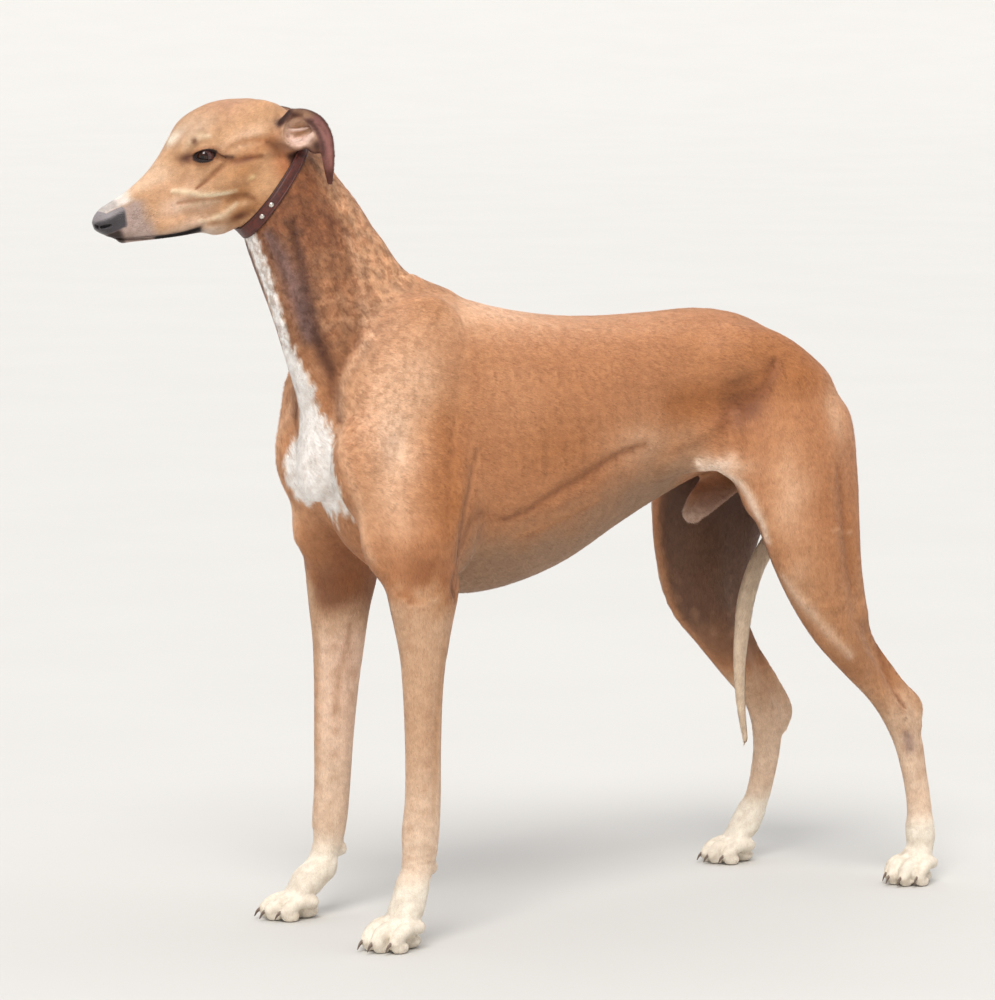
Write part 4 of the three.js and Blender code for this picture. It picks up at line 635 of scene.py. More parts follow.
# Muscles, tendons, veins and folds: where, how wide, how high (less than 0 is a groove), then the line
folds = {
    "jugular": ("neck", 9, -2.6, (-67, -5, 811), (-65, -13, 780), (-63, -19, 753), (-61, -24, 725),
                (-57, -27, 697), (-47, -33, 669), (-37, -38, 641), (-32, -40, 613), (-30, -44, 591)),
    "throat band": ("neck", 8, 1.2, (-91, 9, 797), (-81, -4, 769), (-73, -13, 742), (-67, -20, 714),
                    (-60, -24, 686)),
    "neck cord": ("neck", 8, 1.6, (-31, 0, 834), (-27, -10, 807), (-28, -20, 779), (-34, -29, 747),
                  (-44, -32, 719)),
    "neck side": ("neck", 7, 1.0, (-3, -12, 795), (6, -22, 767), (5, -34, 734), (0, -49, 691),
                  (-10, -54, 663)),
    "shoulder edge": ("trunk", 8, 1.8, (5, -55, 685), (-15, -52, 658), (-28, -45, 630), (-32, -45, 602),
                      (-42, -66, 571), (-44, -79, 541), (-33, -84, 505), (-24, -82, 471), (-16, -88, 438)),
    "before shoulder": ("trunk", 8, -2.0, (-4, -48, 690), (-24, -44, 655), (-36, -38, 625), (-40, -36, 600)),
    "blade ridge": ("trunk", 8, 1.2, (96, -53, 721), (63, -73, 689), (34, -78, 663), (8, -77, 636),
                    (-8, -75, 604)),
    "blade back": ("trunk", 11, -1.4, (122, -55, 700), (114, -74, 660), (104, -84, 620), (98, -88, 590)),
    "upper arm back": ("trunk", 7, -2.6, (124, -88, 553), (112, -94, 520), (99, -102, 494), (92, -103, 466),
                       (88, -101, 432), (84, -105, 402)),
    "triceps": ("trunk", 7, -1.3, (96, -86, 588), (89, -93, 561), (78, -104, 534), (72, -110, 501),
                (68, -114, 468)),
    "triceps head": ("trunk", 7, 1.4, (110, -88, 580), (101, -93, 548), (92, -100, 520), (84, -106, 480)),
    "upper arm front": ("trunk", 6, 0.9, (15, -97, 537), (15, -106, 504), (15, -113, 472), (11, -114, 439),
                        (8, -111, 405)),
    "elbow bow": ("fore", 4, 1.0, (9, -110, 393), (17, -117, 385), (30, -124, 388), (50, -124, 395)),
    "elbow crease": ("fore", 4, -1.6, (78, -113, 418), (73, -119, 404), (80, -110, 388)),
    "flank": ("trunk", 8, -2.1, (362, -76, 544), (334, -82, 540), (299, -87, 529), (270, -89, 515),
              (242, -89, 503), (216, -87, 490), (192, -83, 477), (167, -79, 470)),
    "under flank": ("trunk", 8, 1.0, (372, -74, 530), (334, -80, 522), (299, -84, 510), (262, -86, 496),
                    (230, -85, 483)),
    "low flank": ("trunk", 7, 1.0, (301, -75, 484), (264, -77, 473), (230, -76, 460), (191, -73, 451)),
    "brisket crease": ("trunk", 8, -1.7, (160, -79, 470), (127, -88, 479), (108, -98, 470), (98, -97, 448)),
    "hip front": ("trunk", 12, -2.0, (540, -86, 633), (522, -90, 607), (506, -83, 590), (494, -77, 576),
                  (474, -71, 560)),
    "loin hollow": ("trunk", 15, -1.2, (519, -87, 618), (491, -75, 601), (447, -66, 589), (399, -74, 588)),
    "loin cord": ("trunk", 9, 1.6, (497, -70, 570), (470, -66, 560), (440, -64, 548), (405, -66, 536)),
    "loin line": ("trunk", 7, 1.0, (454, -57, 538), (422, -62, 526), (391, -65, 520)),
    "fold rim": ("trunk", 5, 1.4, (442, -66, 520), (455, -66, 509), (481, -70, 503), (499, -86, 485),
                 (512, -93, 455), (526, -92, 424)),
    "haunch point": ("trunk", 12, 2.0, (612, -52, 640), (632, -50, 612), (648, -50, 585)),
    "hip bone": ("trunk", 9, 1.8, (500, -48, 678), (508, -66, 664), (512, -76, 648)),
    "thigh back": ("hind", 8, -1.6, (614, -112, 504), (621, -111, 468), (625, -112, 432), (630, -113, 396),
                   (635, -113, 360)),
    "thigh cord": ("hind", 9, 1.0, (590, -114, 500), (600, -118, 460), (606, -118, 425), (610, -118, 390)),
    "thigh front": ("hind", 8, 0.9, (524, -110, 509), (541, -116, 473), (554, -119, 437), (561, -119, 401)),
    "scar": ("hind", 3, 0.7, (597, -121, 435), (618, -117, 431), (639, -108, 427)),
    "knee": ("hind", 6, 1.1, (564, -107, 353), (575, -114, 346), (600, -119, 343), (620, -120, 350)),
    "shin": ("hind", 6, 0.8, (544, -98, 383), (564, -107, 353), (591, -114, 322), (631, -117, 283)),
    "shin back": ("hind", 6, -1.2, (645, -115, 350), (655, -112, 327), (668, -106, 300), (680, -104, 275)),
    "heel groove": ("hind", 6, -2.4, (674, -104, 312), (681, -101, 296), (692, -104, 265), (702, -109, 237),
                    (712, -114, 214)),
    "hock vein": ("hind", 3.2, 0.9, (672, -112, 245), (686, -113, 225), (699, -112, 199), (711, -111, 174),
                  (718, -112, 150)),
    "hock hollow": ("hind", 7, -1.6, (716, -118, 182), (721, -118, 172), (722, -117, 162)),
    "hock bone": ("hind", 6, 1.1, (727, -116, 140), (728, -115, 128)),
    "cannon cord": ("hind", 4, 0.9, (718, -112, 150), (726, -112, 112), (728, -114, 63)),
    "wrist": ("fore", 4.5, 1.0, (14, -107, 116), (25, -121, 120), (40, -121, 116), (51, -116, 108)),
    "wrist low": ("fore", 4, -0.9, (16, -112, 100), (28, -122, 98), (42, -120, 94)),
    "forearm cord": ("fore", 5, -1.0, (60, -122, 350), (56, -122, 310), (50, -121, 260), (46, -119, 200),
                     (44, -119, 150)),
    "forearm vein": ("fore", 3, 0.6, (24, -120, 330), (30, -123, 290), (32, -122, 240), (30, -121, 190)),
    "inner forearm": ("fore", 4, -1.3, (40, -76, 352), (37, -81, 324), (30, -84, 294), (27, -86, 250)),
    "pastern cord": ("fore", 4, 0.8, (22, -118, 84), (8, -114, 60), (-6, -112, 46)),
}
for rib in range(7):
    x = 168 + rib * 27
    folds["rib " + str(rib)] = ("trunk", 7, 1.3 - 0.08 * rib, (x - 22, -90, 640), (x - 6, -96, 600),
                                (x + 8, -96, 560), (x + 12, -93, 525))
for bump in range(9):   # the spine
    x = 330 + bump * 22
    folds["spine " + str(bump)] = ("middle", 7, 0.5, (x - 5, 0, 690), (x + 5, 0, 690))

headFolds = {   # how wide, how high, then the line: length ahead, to the side, up, in the head's own frame
    "eye crease": (3.2, -1.5, (93, 42, 15), (97, 41, 12), (107, 37.5, 9), (118, 35, 5), (128, 33, 2),
                   (139, 31, -2)),
    "under crease": (4, 0.9, (100, 39, 5), (112, 36, 0), (126, 34, -3), (140, 31, -6)),
    "cheek ridge": (4.2, 1.7, (162, 25, 7), (152, 28.5, 2), (139, 32.5, -7), (125, 35.5, -14),
                    (112, 37.5, -18), (100, 41, -20)),
    "below ridge": (4, -1.1, (162, 25, -8), (148, 29, -12), (134, 32, -18), (116, 35, -24)),
    "cheek ridge low": (3.4, 0.8, (164, 24, -14), (150, 27, -17), (134, 30, -21), (120, 33, -25)),
    "jaw ridge": (3.6, 1.0, (149, 26, -36), (138, 28, -39), (124, 30, -40.5), (113, 34, -38),
                  (104, 38, -34)),
    "jaw fold": (4, -1.0, (112, 36, -28), (104, 40, -27), (94, 44, -29), (85, 45, -37)),
    "jaw hollow": (4, -0.6, (140, 27, -43), (124, 28, -48), (108, 28, -53)),
    "behind eye": (3.6, -1.1, (102, 36, 22), (97, 41, 17), (88, 45, 11), (73, 48, 7), (59, 47, 3)),
    "over eye": (4.5, -1.0, (92, 43, 24), (80, 45, 27), (66, 45, 25), (50, 44, 19), (40, 43, 13)),
    "temple": (8, 0.9, (94, 40, 34), (80, 42, 38), (62, 42, 36)),
    "forehead edge": (4, -1.0, (150, 17, 46), (136, 23, 55), (122, 25, 62), (104, 25, 68), (84, 24, 72),
                      (62, 25, 71)),
    "brow bone": (4, 1.1, (133, 30, 44), (124, 32, 49), (112, 33, 50), (101, 35, 46)),
    "stop": (6, -1.0, (150, 0, 50), (136, 0, 62), (118, 0, 74), (96, 0, 78)),
    "nasal edge": (4, 0.8, (218, 13, 18), (200, 15, 21), (180, 18, 25), (160, 22, 30)),
    "muzzle side": (6, -0.6, (205, 19, 4), (184, 21.5, 2), (164, 25, 2)),
    "whisker bed": (5, 0.8, (212, 18, -10), (200, 20, -14), (188, 21, -18)),
    "wart": (2.6, 1.2, (117, 33, 45), (119, 33, 47)),
    "cheek mole": (2.4, 0.8, (79, 47, -13), (79, 47, -15)),
    "crown": (6, 0.8, (90, 0, 78), (60, 0, 74), (30, 0, 62), (6, 0, 46)),
    "ear root": (4.5, -1.3, (46, 44, 14), (34, 42, 2), (20, 40, -10)),
}

bodyLow, headLow = np.array((-110, -160, -6)), np.array((-290, -40, 740))
bodyCell, headCell = 5.2, 2.0
coatDepth = {"body": 0.8, "paws": 0.35, "head": 0.35}   # how far the skin lies under the top of the coat


def inHead(points):
    return (points - headFrame[:3, 3]) @ headFrame[:3, :3]


def normalsOf(points, faces):
    corner = points[faces]
    flat = np.cross(corner[:, 1] - corner[:, 0], corner[:, 2] - corner[:, 0])
    sums = np.stack([sum(np.bincount(faces[:, k], flat[:, axis], len(points)) for k in range(3))
                     for axis in range(3)], 1)
    return sums / np.maximum(np.linalg.norm(sums, axis=1), 1e-9)[:, None]


def ringQuads(rings, spokes, closed=False):   # faces between rings of points that follow each other
    ring, spoke = np.arange(rings if closed else rings - 1)[:, None], np.arange(spokes)
    here, after, beside = ring * spokes, (ring + 1) % rings * spokes, (spoke + 1) % spokes
    return np.stack([here + spoke, after + spoke, after + beside, here + beside], 2).reshape(-1, 4)


def halved(quads):   # each quad as two triangles
    return np.vstack([quads[:, [0, 1, 2]], quads[:, [0, 2, 3]]])


def fan(middle, ring):   # triangles from a middle point to a ring of points
    return np.stack([np.full(len(ring), middle), ring, np.roll(ring, -1)], 1)


def netOf(flesh, low, high, cell):
    return surfaceNet(sampled(flesh, low, high, cell), low, cell)


points, faces = netOf(bodyFlesh, bodyLow, (780, 165, 930), bodyCell)
points, faces = refined(points, faces, points[faces].mean(1)[:, 2] < 56)
points = settle(bodyFlesh, points, coatDepth["body"] + (coatDepth["paws"] - coatDepth["body"])
                * rise(points[:, 2], 110, 60), most=3)
print("body:", len(faces), "triangles")

mouthLine = [(243, 6, -14.5), (232, 11.5, -19.5), (212, 17, -28), (188, 20.5, -36.5), (166, 24, -42),
             (150, 27, -44)]
headPoints, headFaces = netOf(headFlesh, headLow, (60, 175, 1010), headCell)
spots = inHead(headPoints[headFaces].mean(1))
mirrored = spots.copy()
mirrored[:, 1] = np.abs(mirrored[:, 1])
fine = (np.linalg.norm(mirrored - (114, 31, 28), axis=1) < 23) | (spots[:, 0] > 226)
fine |= nearLine(mirrored, mouthLine, 4, 1) > 0.3
headPoints, headFaces = refined(headPoints, headFaces, fine)
headPoints = settle(headFlesh, headPoints, coatDepth["head"], turns=3)
print("head:", len(headFaces), "triangles")

# The flesh's own lines, pushed out or in along the surface
normals = normalsOf(points, faces)
shift = np.zeros(len(points))
marks = {}   # each fold's lines as they lie on both sides, for the colours
for name, (where, width, height, *line) in folds.items():
    line = np.array(line, float)
    sides = [line]
    if where in ("trunk", "neck"):
        sides.append(otherSide(line))
    elif where == "fore":
        sides.append(otherLeg(line, leftFore, rightFore))
    elif where == "hind":
        sides.append(otherLeg(line, leftHind, rightHind))
    marks[name] = [settle(bodyFlesh, side, 0, turns=3, most=6) for side in sides]
    for side in marks[name]:
        shift += height * nearLine(points, side, width)
points = points + normals * shift[:, None] * rise(points[:, 2], 2, 12)[:, None]
headNormals = normalsOf(headPoints, headFaces)
shift = np.zeros(len(headPoints))
local = inHead(headPoints)
local[:, 1] = np.abs(local[:, 1])
for width, height, *line in headFolds.values():
    shift += height * nearLine(local, np.array(line, float), width)
headPoints = headPoints + headNormals * shift[:, None]
print("folds:", len(folds), "on the body and", len(headFolds), "on the head")


# Which part each place belongs to, softly, and the way that the coat lies there
partNames = ["trunk", "neck", "head", "leftFore", "rightFore", "leftHind", "rightHind", "tail"]
lieOf = {"trunk": (0.95, 0, -0.3), "neck": (0.5, -0.25, -0.83), "head": -headFrame[:3, 0],
         "leftFore": (0.12, 0, -1), "rightFore": (0.12, 0, -1), "leftHind": (0.3, 0, -1),
         "rightHind": (0.2, 0, -1), "tail": (-0.2, 0.1, -1)}


def partWeights(points):
    fleshes = [trunk(), neck(), Flesh().take(head(), ears(), noseLeather())]
    for name in ("left_front", "right_front", "left_hind", "right_hind"):
        matrix, root, height, leg = feet[name]
        fleshes.append(Flesh().take(leg, paw(matrix, root, height)))
    depth = np.stack([flesh.value(points) for flesh in fleshes + [tail]], 1)
    weight = np.exp(-np.clip(depth - depth.min(1)[:, None], 0, 200) / 7)
    return weight / weight.sum(1)[:, None]


def lieAt(points, normals, weight):   # along the coat, flat on the skin
    lie = weight @ np.array([unit(lieOf[name]) for name in partNames])
    lie[:, 2] -= 0.5 * rise(points[:, 2], 560, 420) * weight[:, 0]
    toward = weight[:, 3:7].max(1) * rise(points[:, 2], 60, 30)
    lie += toward[:, None] * np.array((-1.2, 0, 0.4))
    lie -= normals * (lie * normals).sum(1)[:, None]
    return lie / np.maximum(np.linalg.norm(lie, axis=1), 1e-6)[:, None]


def wander(points, size, turn=0.0):   # a soft uneven value from -1 to 1 that changes over about the size
    x, y, z = (points / size).T
    return (np.sin(2.1 * x + 1.3 * np.sin(1.7 * y + turn))
            + np.sin(2.3 * y + 1.1 * np.sin(1.9 * z + 2 * turn))
            + np.sin(2.2 * z + 1.2 * np.sin(1.6 * x + 3 * turn))) / 3


def paint(tone, colour, amount):
    return tone + (np.array(colour, float) - tone) * np.clip(amount, 0, 1)[:, None]


tones = {
    "fawn": (192, 132, 88), "pale fawn": (240, 198, 164), "gold": (176, 112, 62), "russet": (138, 82, 46),
    "dark": (84, 46, 28), "belly": (158, 124, 96), "leg": (208, 169, 136), "cannon": (230, 202, 176),
    "paw": (246, 237, 222), "white": (255, 251, 248), "neck": (158, 108, 74), "mauve": (118, 90, 86),
    # the dark tone for the thighs' inner sides is painted shade, not a coat colour
    "cream": (246, 222, 202), "painted inner thigh shade": (96, 66, 50), "sheath": (196, 168, 152),
    "leather": (66, 61, 64), "rim": (38, 25, 23)}

bodyWashes = (   # tone, strength, middle of the wash (length, to the side, up) and how far it spreads
    # the pale fawn washes along the top of the back are partly a paler coat, partly painted light from above
    ("pale fawn", 0.95, (190, 40, 712), (210, 80, 34)), ("pale fawn", 0.35, (430, 40, 692), (120, 80, 24)),
    # the dark spot high on the neck is painted shadow below the ear
    ("dark", 0.9, (-20, 22, 884), (9, 14, 9)), ("fawn", 0.6, (470, 40, 690), (120, 80, 24)),
    ("gold", 0.65, (560, 60, 650), (80, 90, 50)), ("gold", 0.5, (80, 60, 716), (46, 60, 22)),
    ("pale fawn", 0.95, (8, 78, 596), (46, 60, 72)), ("pale fawn", 0.8, (46, 84, 640), (46, 50, 44)),
    ("pale fawn", 0.75, (2, 96, 508), (30, 60, 56)), ("cream", 0.45, (14, 88, 564), (24, 50, 26)),
    ("gold", 0.75, (80, 96, 556), (26, 60, 56)),
    ("gold", 0.9, (72, 112, 490), (26, 60, 44)), ("russet", 0.75, (34, 118, 424), (30, 40, 24)),
    ("gold", 0.5, (230, 92, 550), (64, 40, 34)), ("pale fawn", 0.6, (352, 80, 545), (50, 50, 26)),
    ("pale fawn", 0.15, (170, 90, 620), (50, 50, 60)),
    # painted shade in the loin hollow and along the front of the hip: the gold at the loin, the russet and
    # dark at the hip
    ("gold", 0.95, (436, 68, 592), (46, 50, 24)), ("russet", 0.95, (496, 78, 590), (26, 40, 22)),
    ("dark", 0.85, (498, 78, 598), (15, 40, 20)), ("russet", 0.4, (474, 72, 564), (20, 40, 16)),
    # the deeper gold along the croup is partly its own golden tone, partly painted shade of the haunch
    ("gold", 0.95, (574, 92, 622), (40, 60, 26)), ("pale fawn", 0.7, (624, 98, 566), (22, 60, 34)),
    ("pale fawn", 0.75, (542, 110, 476), (26, 50, 60)), ("gold", 0.15, (612, 112, 470), (34, 50, 70)),
    ("gold", 0.8, (636, 110, 390), (28, 50, 50)), ("cream", 0.95, (464, 76, 513), (36, 36, 15)),
    ("cream", 0.95, (560, 108, 352), (18, 40, 48)), ("mauve", 0.6, (500, 20, 462), (46, 26, 30)),
    ("sheath", 0.9, (470, 4, 444), (46, 24, 20)))

marked = (   # the tone, strength and width that a line on the body carries
    ("jugular", "dark", 1.1, 7.5), ("throat band", "mauve", 0.85, 13), ("neck side", "pale fawn", 0.35, 9),
    ("before shoulder", "russet", 0.5, 9), ("shoulder edge", "pale fawn", 0.6, 8),
    ("upper arm back", "dark", 0.5, 5), ("flank", "russet", 0.75, 7), ("brisket crease", "russet", 0.5, 8),
    # the hip front and loin hollow lines carry painted shade in their grooves
    ("hip front", "russet", 1.0, 12), ("loin hollow", "gold", 0.7, 14), ("loin cord", "fawn", 0.4, 9),
    ("fold rim", "cream", 0.95, 7), ("heel groove", "russet", 0.7, 5), ("thigh back", "russet", 0.4, 9),
    ("hock hollow", "mauve", 0.6, 7), ("scar", "cream", 0.4, 2), ("elbow crease", "dark", 0.6, 4),
    ("inner forearm", "russet", 0.35, 4), ("low flank", "gold", 0.3, 6), ("shin", "cream", 0.5, 8),
    ("forearm cord", "gold", 0.3, 4), ("elbow bow", "cream", 0.25, 5))


def bodyTone(points, normals, weight):
    x, y, z = points.T
    uneven, fine = wander(points, 22), wander(points, 9, 1)
    spots = np.stack([x, np.abs(y - neckMiddle(z)), z], 1) + 5 * np.stack([uneven, 0 * fine, fine], 1)
    tone = np.tile(np.array(tones["fawn"], float), (len(points), 1))
    legs, fore, hind = weight[:, 3:7].sum(1), weight[:, 3] + weight[:, 4], weight[:, 5] + weight[:, 6]
    for name, strength, middle, spread in bodyWashes:
        tone = paint(tone, tones[name], strength * nearSpot(spots, middle, spread))
    underline = curve([(-42, 510), (50, 420), (100, 398), (160, 390), (220, 396), (290, 417), (360, 452),
                       (420, 478), (480, 500), (664, 520)])(x)
    belly = rise(z + 12 * uneven, underline + 100, underline + 16) * weight[:, 0] * rise(x, 60, 110)
    tone = paint(tone, tones["belly"], 0.95 * belly * rise(x, 470, 420))
    # the neck: dark and mottled on its upper side and throat, light along the crest and the lower side
    neckShare = np.clip(weight[:, 1] * 1.4, 0, 1) * rise(z, 610, 690)
    tone = paint(tone, tones["neck"], 0.9 * neckShare)
    tone = paint(tone, (134, 82, 50), 0.9 * neckShare * rise(z, 740, 815))
    tone = paint(tone, (216, 166, 126), 0.85 * neckShare * rise(x + 0.32 * (z - 700) + 10 * uneven, 8, 46))
    tone = paint(tone, (196, 150, 116), 0.5 * neckShare * rise(fine + uneven, 0.2, 1.0) * rise(z, 800, 740))
    # inner sides of the legs with painted shade on the thighs and high on the forelegs, and the legs down to
    # the white feet
    inward = rise(-np.sign(y) * normals[:, 1], 0.0, 0.7)
    shade = inward * np.clip(hind + weight[:, 0] * rise(x, 430, 500), 0, 1) * rise(z + 20 * uneven, 215, 330)
    # painted shade: the thighs' inner sides are darkened where they lie in shadow
    tone = paint(tone, tones["painted inner thigh shade"], 0.95 * shade)
    tone = paint(tone, tones["leg"], np.clip(fore * 1.3, 0, 1) * rise(z + 16 * uneven + 8 * fine, 416, 384))
    tone = paint(tone, (240, 208, 184), 0.9 * inward * fore * rise(z + 14 * uneven, 360, 325))
    # painted shade high on the inner forelegs, in the gap between the legs under the chest
    tone = paint(tone, (124, 74, 44), 0.8 * inward * fore * rise(z + 14 * uneven, 345, 385))
    tone = paint(tone, tones["gold"], 0.5 * fore * rise(z, 440, 400) * rise(z, 360, 392) * rise(x, 20, 50))
    outer = hind * (1 - 0.8 * inward)
    tone = paint(tone, (188, 134, 92), 0.85 * outer * rise(z + 20 * uneven, 450, 370))
    tone = paint(tone, (170, 118, 78), 0.8 * outer * nearSpot(spots, (650, 116, 286), (34, 50, 42)))
    tone = paint(tone, (204, 166, 134), hind * rise(z + 14 * uneven, 262, 196))
    tone = paint(tone, tones["cannon"], legs * rise(z + 12 * uneven, 255, 120))
    tone = paint(tone, (186, 140, 108), 0.4 * legs * rise(fine, 0.2, 0.9) * rise(z, 90, 140)
                 * rise(z, 400, 330))
    tone = paint(tone, tones["paw"], legs * rise(z + 8 * uneven, 104, 62))
    tone = paint(tone, (226, 205, 180), weight[:, 7] * rise(z, 545, 450))
    # the side that faces back and to the dog's right, away from the key light, is darker brown: partly its
    # own brownish side, partly painted shade
    tone = paint(tone, (122, 92, 58), 0.8 * weight[:, 7]
                 * rise(normals[:, 0] + 0.6 * normals[:, 1], 0.25, 0.8))
    for name, colour, strength, width in marked:
        for line in marks[name]:
            tone = paint(tone, tones[colour], strength * nearLine(points, line, width, 0.6))
    # white down the throat to the breast
    white = nearLine(points, [(-97, 47, 812), (-100, 36, 790), (-94, 20, 752), (-84, 8, 700), (-72, 4, 655)],
                     15, 0.8)
    for line, width, taper in (
            ([(-72, 4, 660), (-58, -2, 620), (-50, -3, 585), (-46, 0, 552)], 23, 0.9),
            ([(-50, -6, 570), (-48, -2, 535), (-32, 4, 500)], 42, 0.9),
            ([(-44, -30, 560), (-36, -40, 520), (-18, -34, 480)], 26, 0.5),
            ([(-38, 36, 560), (-36, 44, 522), (-20, 46, 488)], 20, 0.5)):
        white = np.maximum(white, nearLine(points, line, width, taper))
    ragged = 0.12 * np.sin(z * 0.31 + y * 0.5) + 0.1 * uneven + 0.09 * fine
    tone = paint(tone, tones["white"], rise(white + ragged, 0.34, 0.6) * rise(x, 30, -4))
    tone = paint(tone, (176, 162, 160), 0.55 * rise(white, 0.5, 0.95) * rise(fine, 0.25, 0.8)
                 * rise(z, 600, 640))
    return tone * (1 + 0.05 * (neckShare * 2.2 + 0.35) * wander(points, 7, 2))[:, None]


headWashes = (   # length ahead, to the side, up, in the head's own frame
    ((204, 156, 122), 0.9, (62, 24, 70), (40, 40, 14)), ((208, 176, 148), 0.9, (112, 26, 62), (26, 30, 16)),
    ((238, 214, 190), 0.9, (130, 17, 60), (14, 12, 9)), ((252, 212, 178), 1.0, (66, 44, 29), (32, 22, 11)),
    ((198, 142, 94), 0.9, (84, 46, -2), (16, 20, 12)), ((228, 180, 136), 0.8, (78, 47, -28), (12, 20, 7)),
    ((178, 122, 74), 0.9, (100, 40, -25), (20, 18, 9)), ((168, 112, 66), 0.85, (92, 36, -46), (24, 20, 8)),
    ((194, 136, 90), 0.85, (52, 45, 12), (34, 24, 7)), ((224, 150, 100), 0.85, (22, 38, -22), (10, 12, 12)),
    ((140, 82, 44), 0.9, (34, 40, 0), (13, 20, 18)), ((224, 178, 142), 0.8, (166, 22, 16), (22, 16, 12)),
    ((250, 216, 192), 0.9, (160, 24, -10), (28, 14, 12)),
    ((218, 176, 142), 0.7, (138, 29, 8), (16, 14, 12)), ((216, 180, 154), 0.8, (139, 28, -22), (18, 14, 12)),
    ((112, 64, 34), 1.0, (108, 35, -49), (14, 12, 4.5)), ((232, 186, 144), 0.8, (97, 40, -37), (5, 8, 4)),
    ((255, 250, 236), 0.95, (138, 7, 58), (11, 9, 8)))

headMarked = (
    ("eye crease", (128, 76, 42), 0.9, 2.4), ("cheek ridge", (252, 240, 208), 1.0, 3.4),
    ("below ridge", (190, 138, 100), 0.75, 3), ("jaw ridge", (244, 222, 190), 0.9, 3.4),
    ("cheek ridge low", (236, 206, 174), 0.8, 3), ("behind eye", (120, 66, 34), 0.9, 4),
    ("over eye", (168, 108, 62), 0.6, 4), ("forehead edge", (186, 136, 98), 0.5, 4),
    ("jaw fold", (132, 82, 46), 0.8, 4), ("jaw hollow", (150, 104, 66), 0.7, 4),
    # the pale brow bone line is a painted highlight along the ridge above the eye
    ("brow bone", (246, 222, 190), 0.7, 4), ("ear root", (120, 70, 38), 0.8, 5),
    ("stop", (206, 164, 128), 0.35, 5))


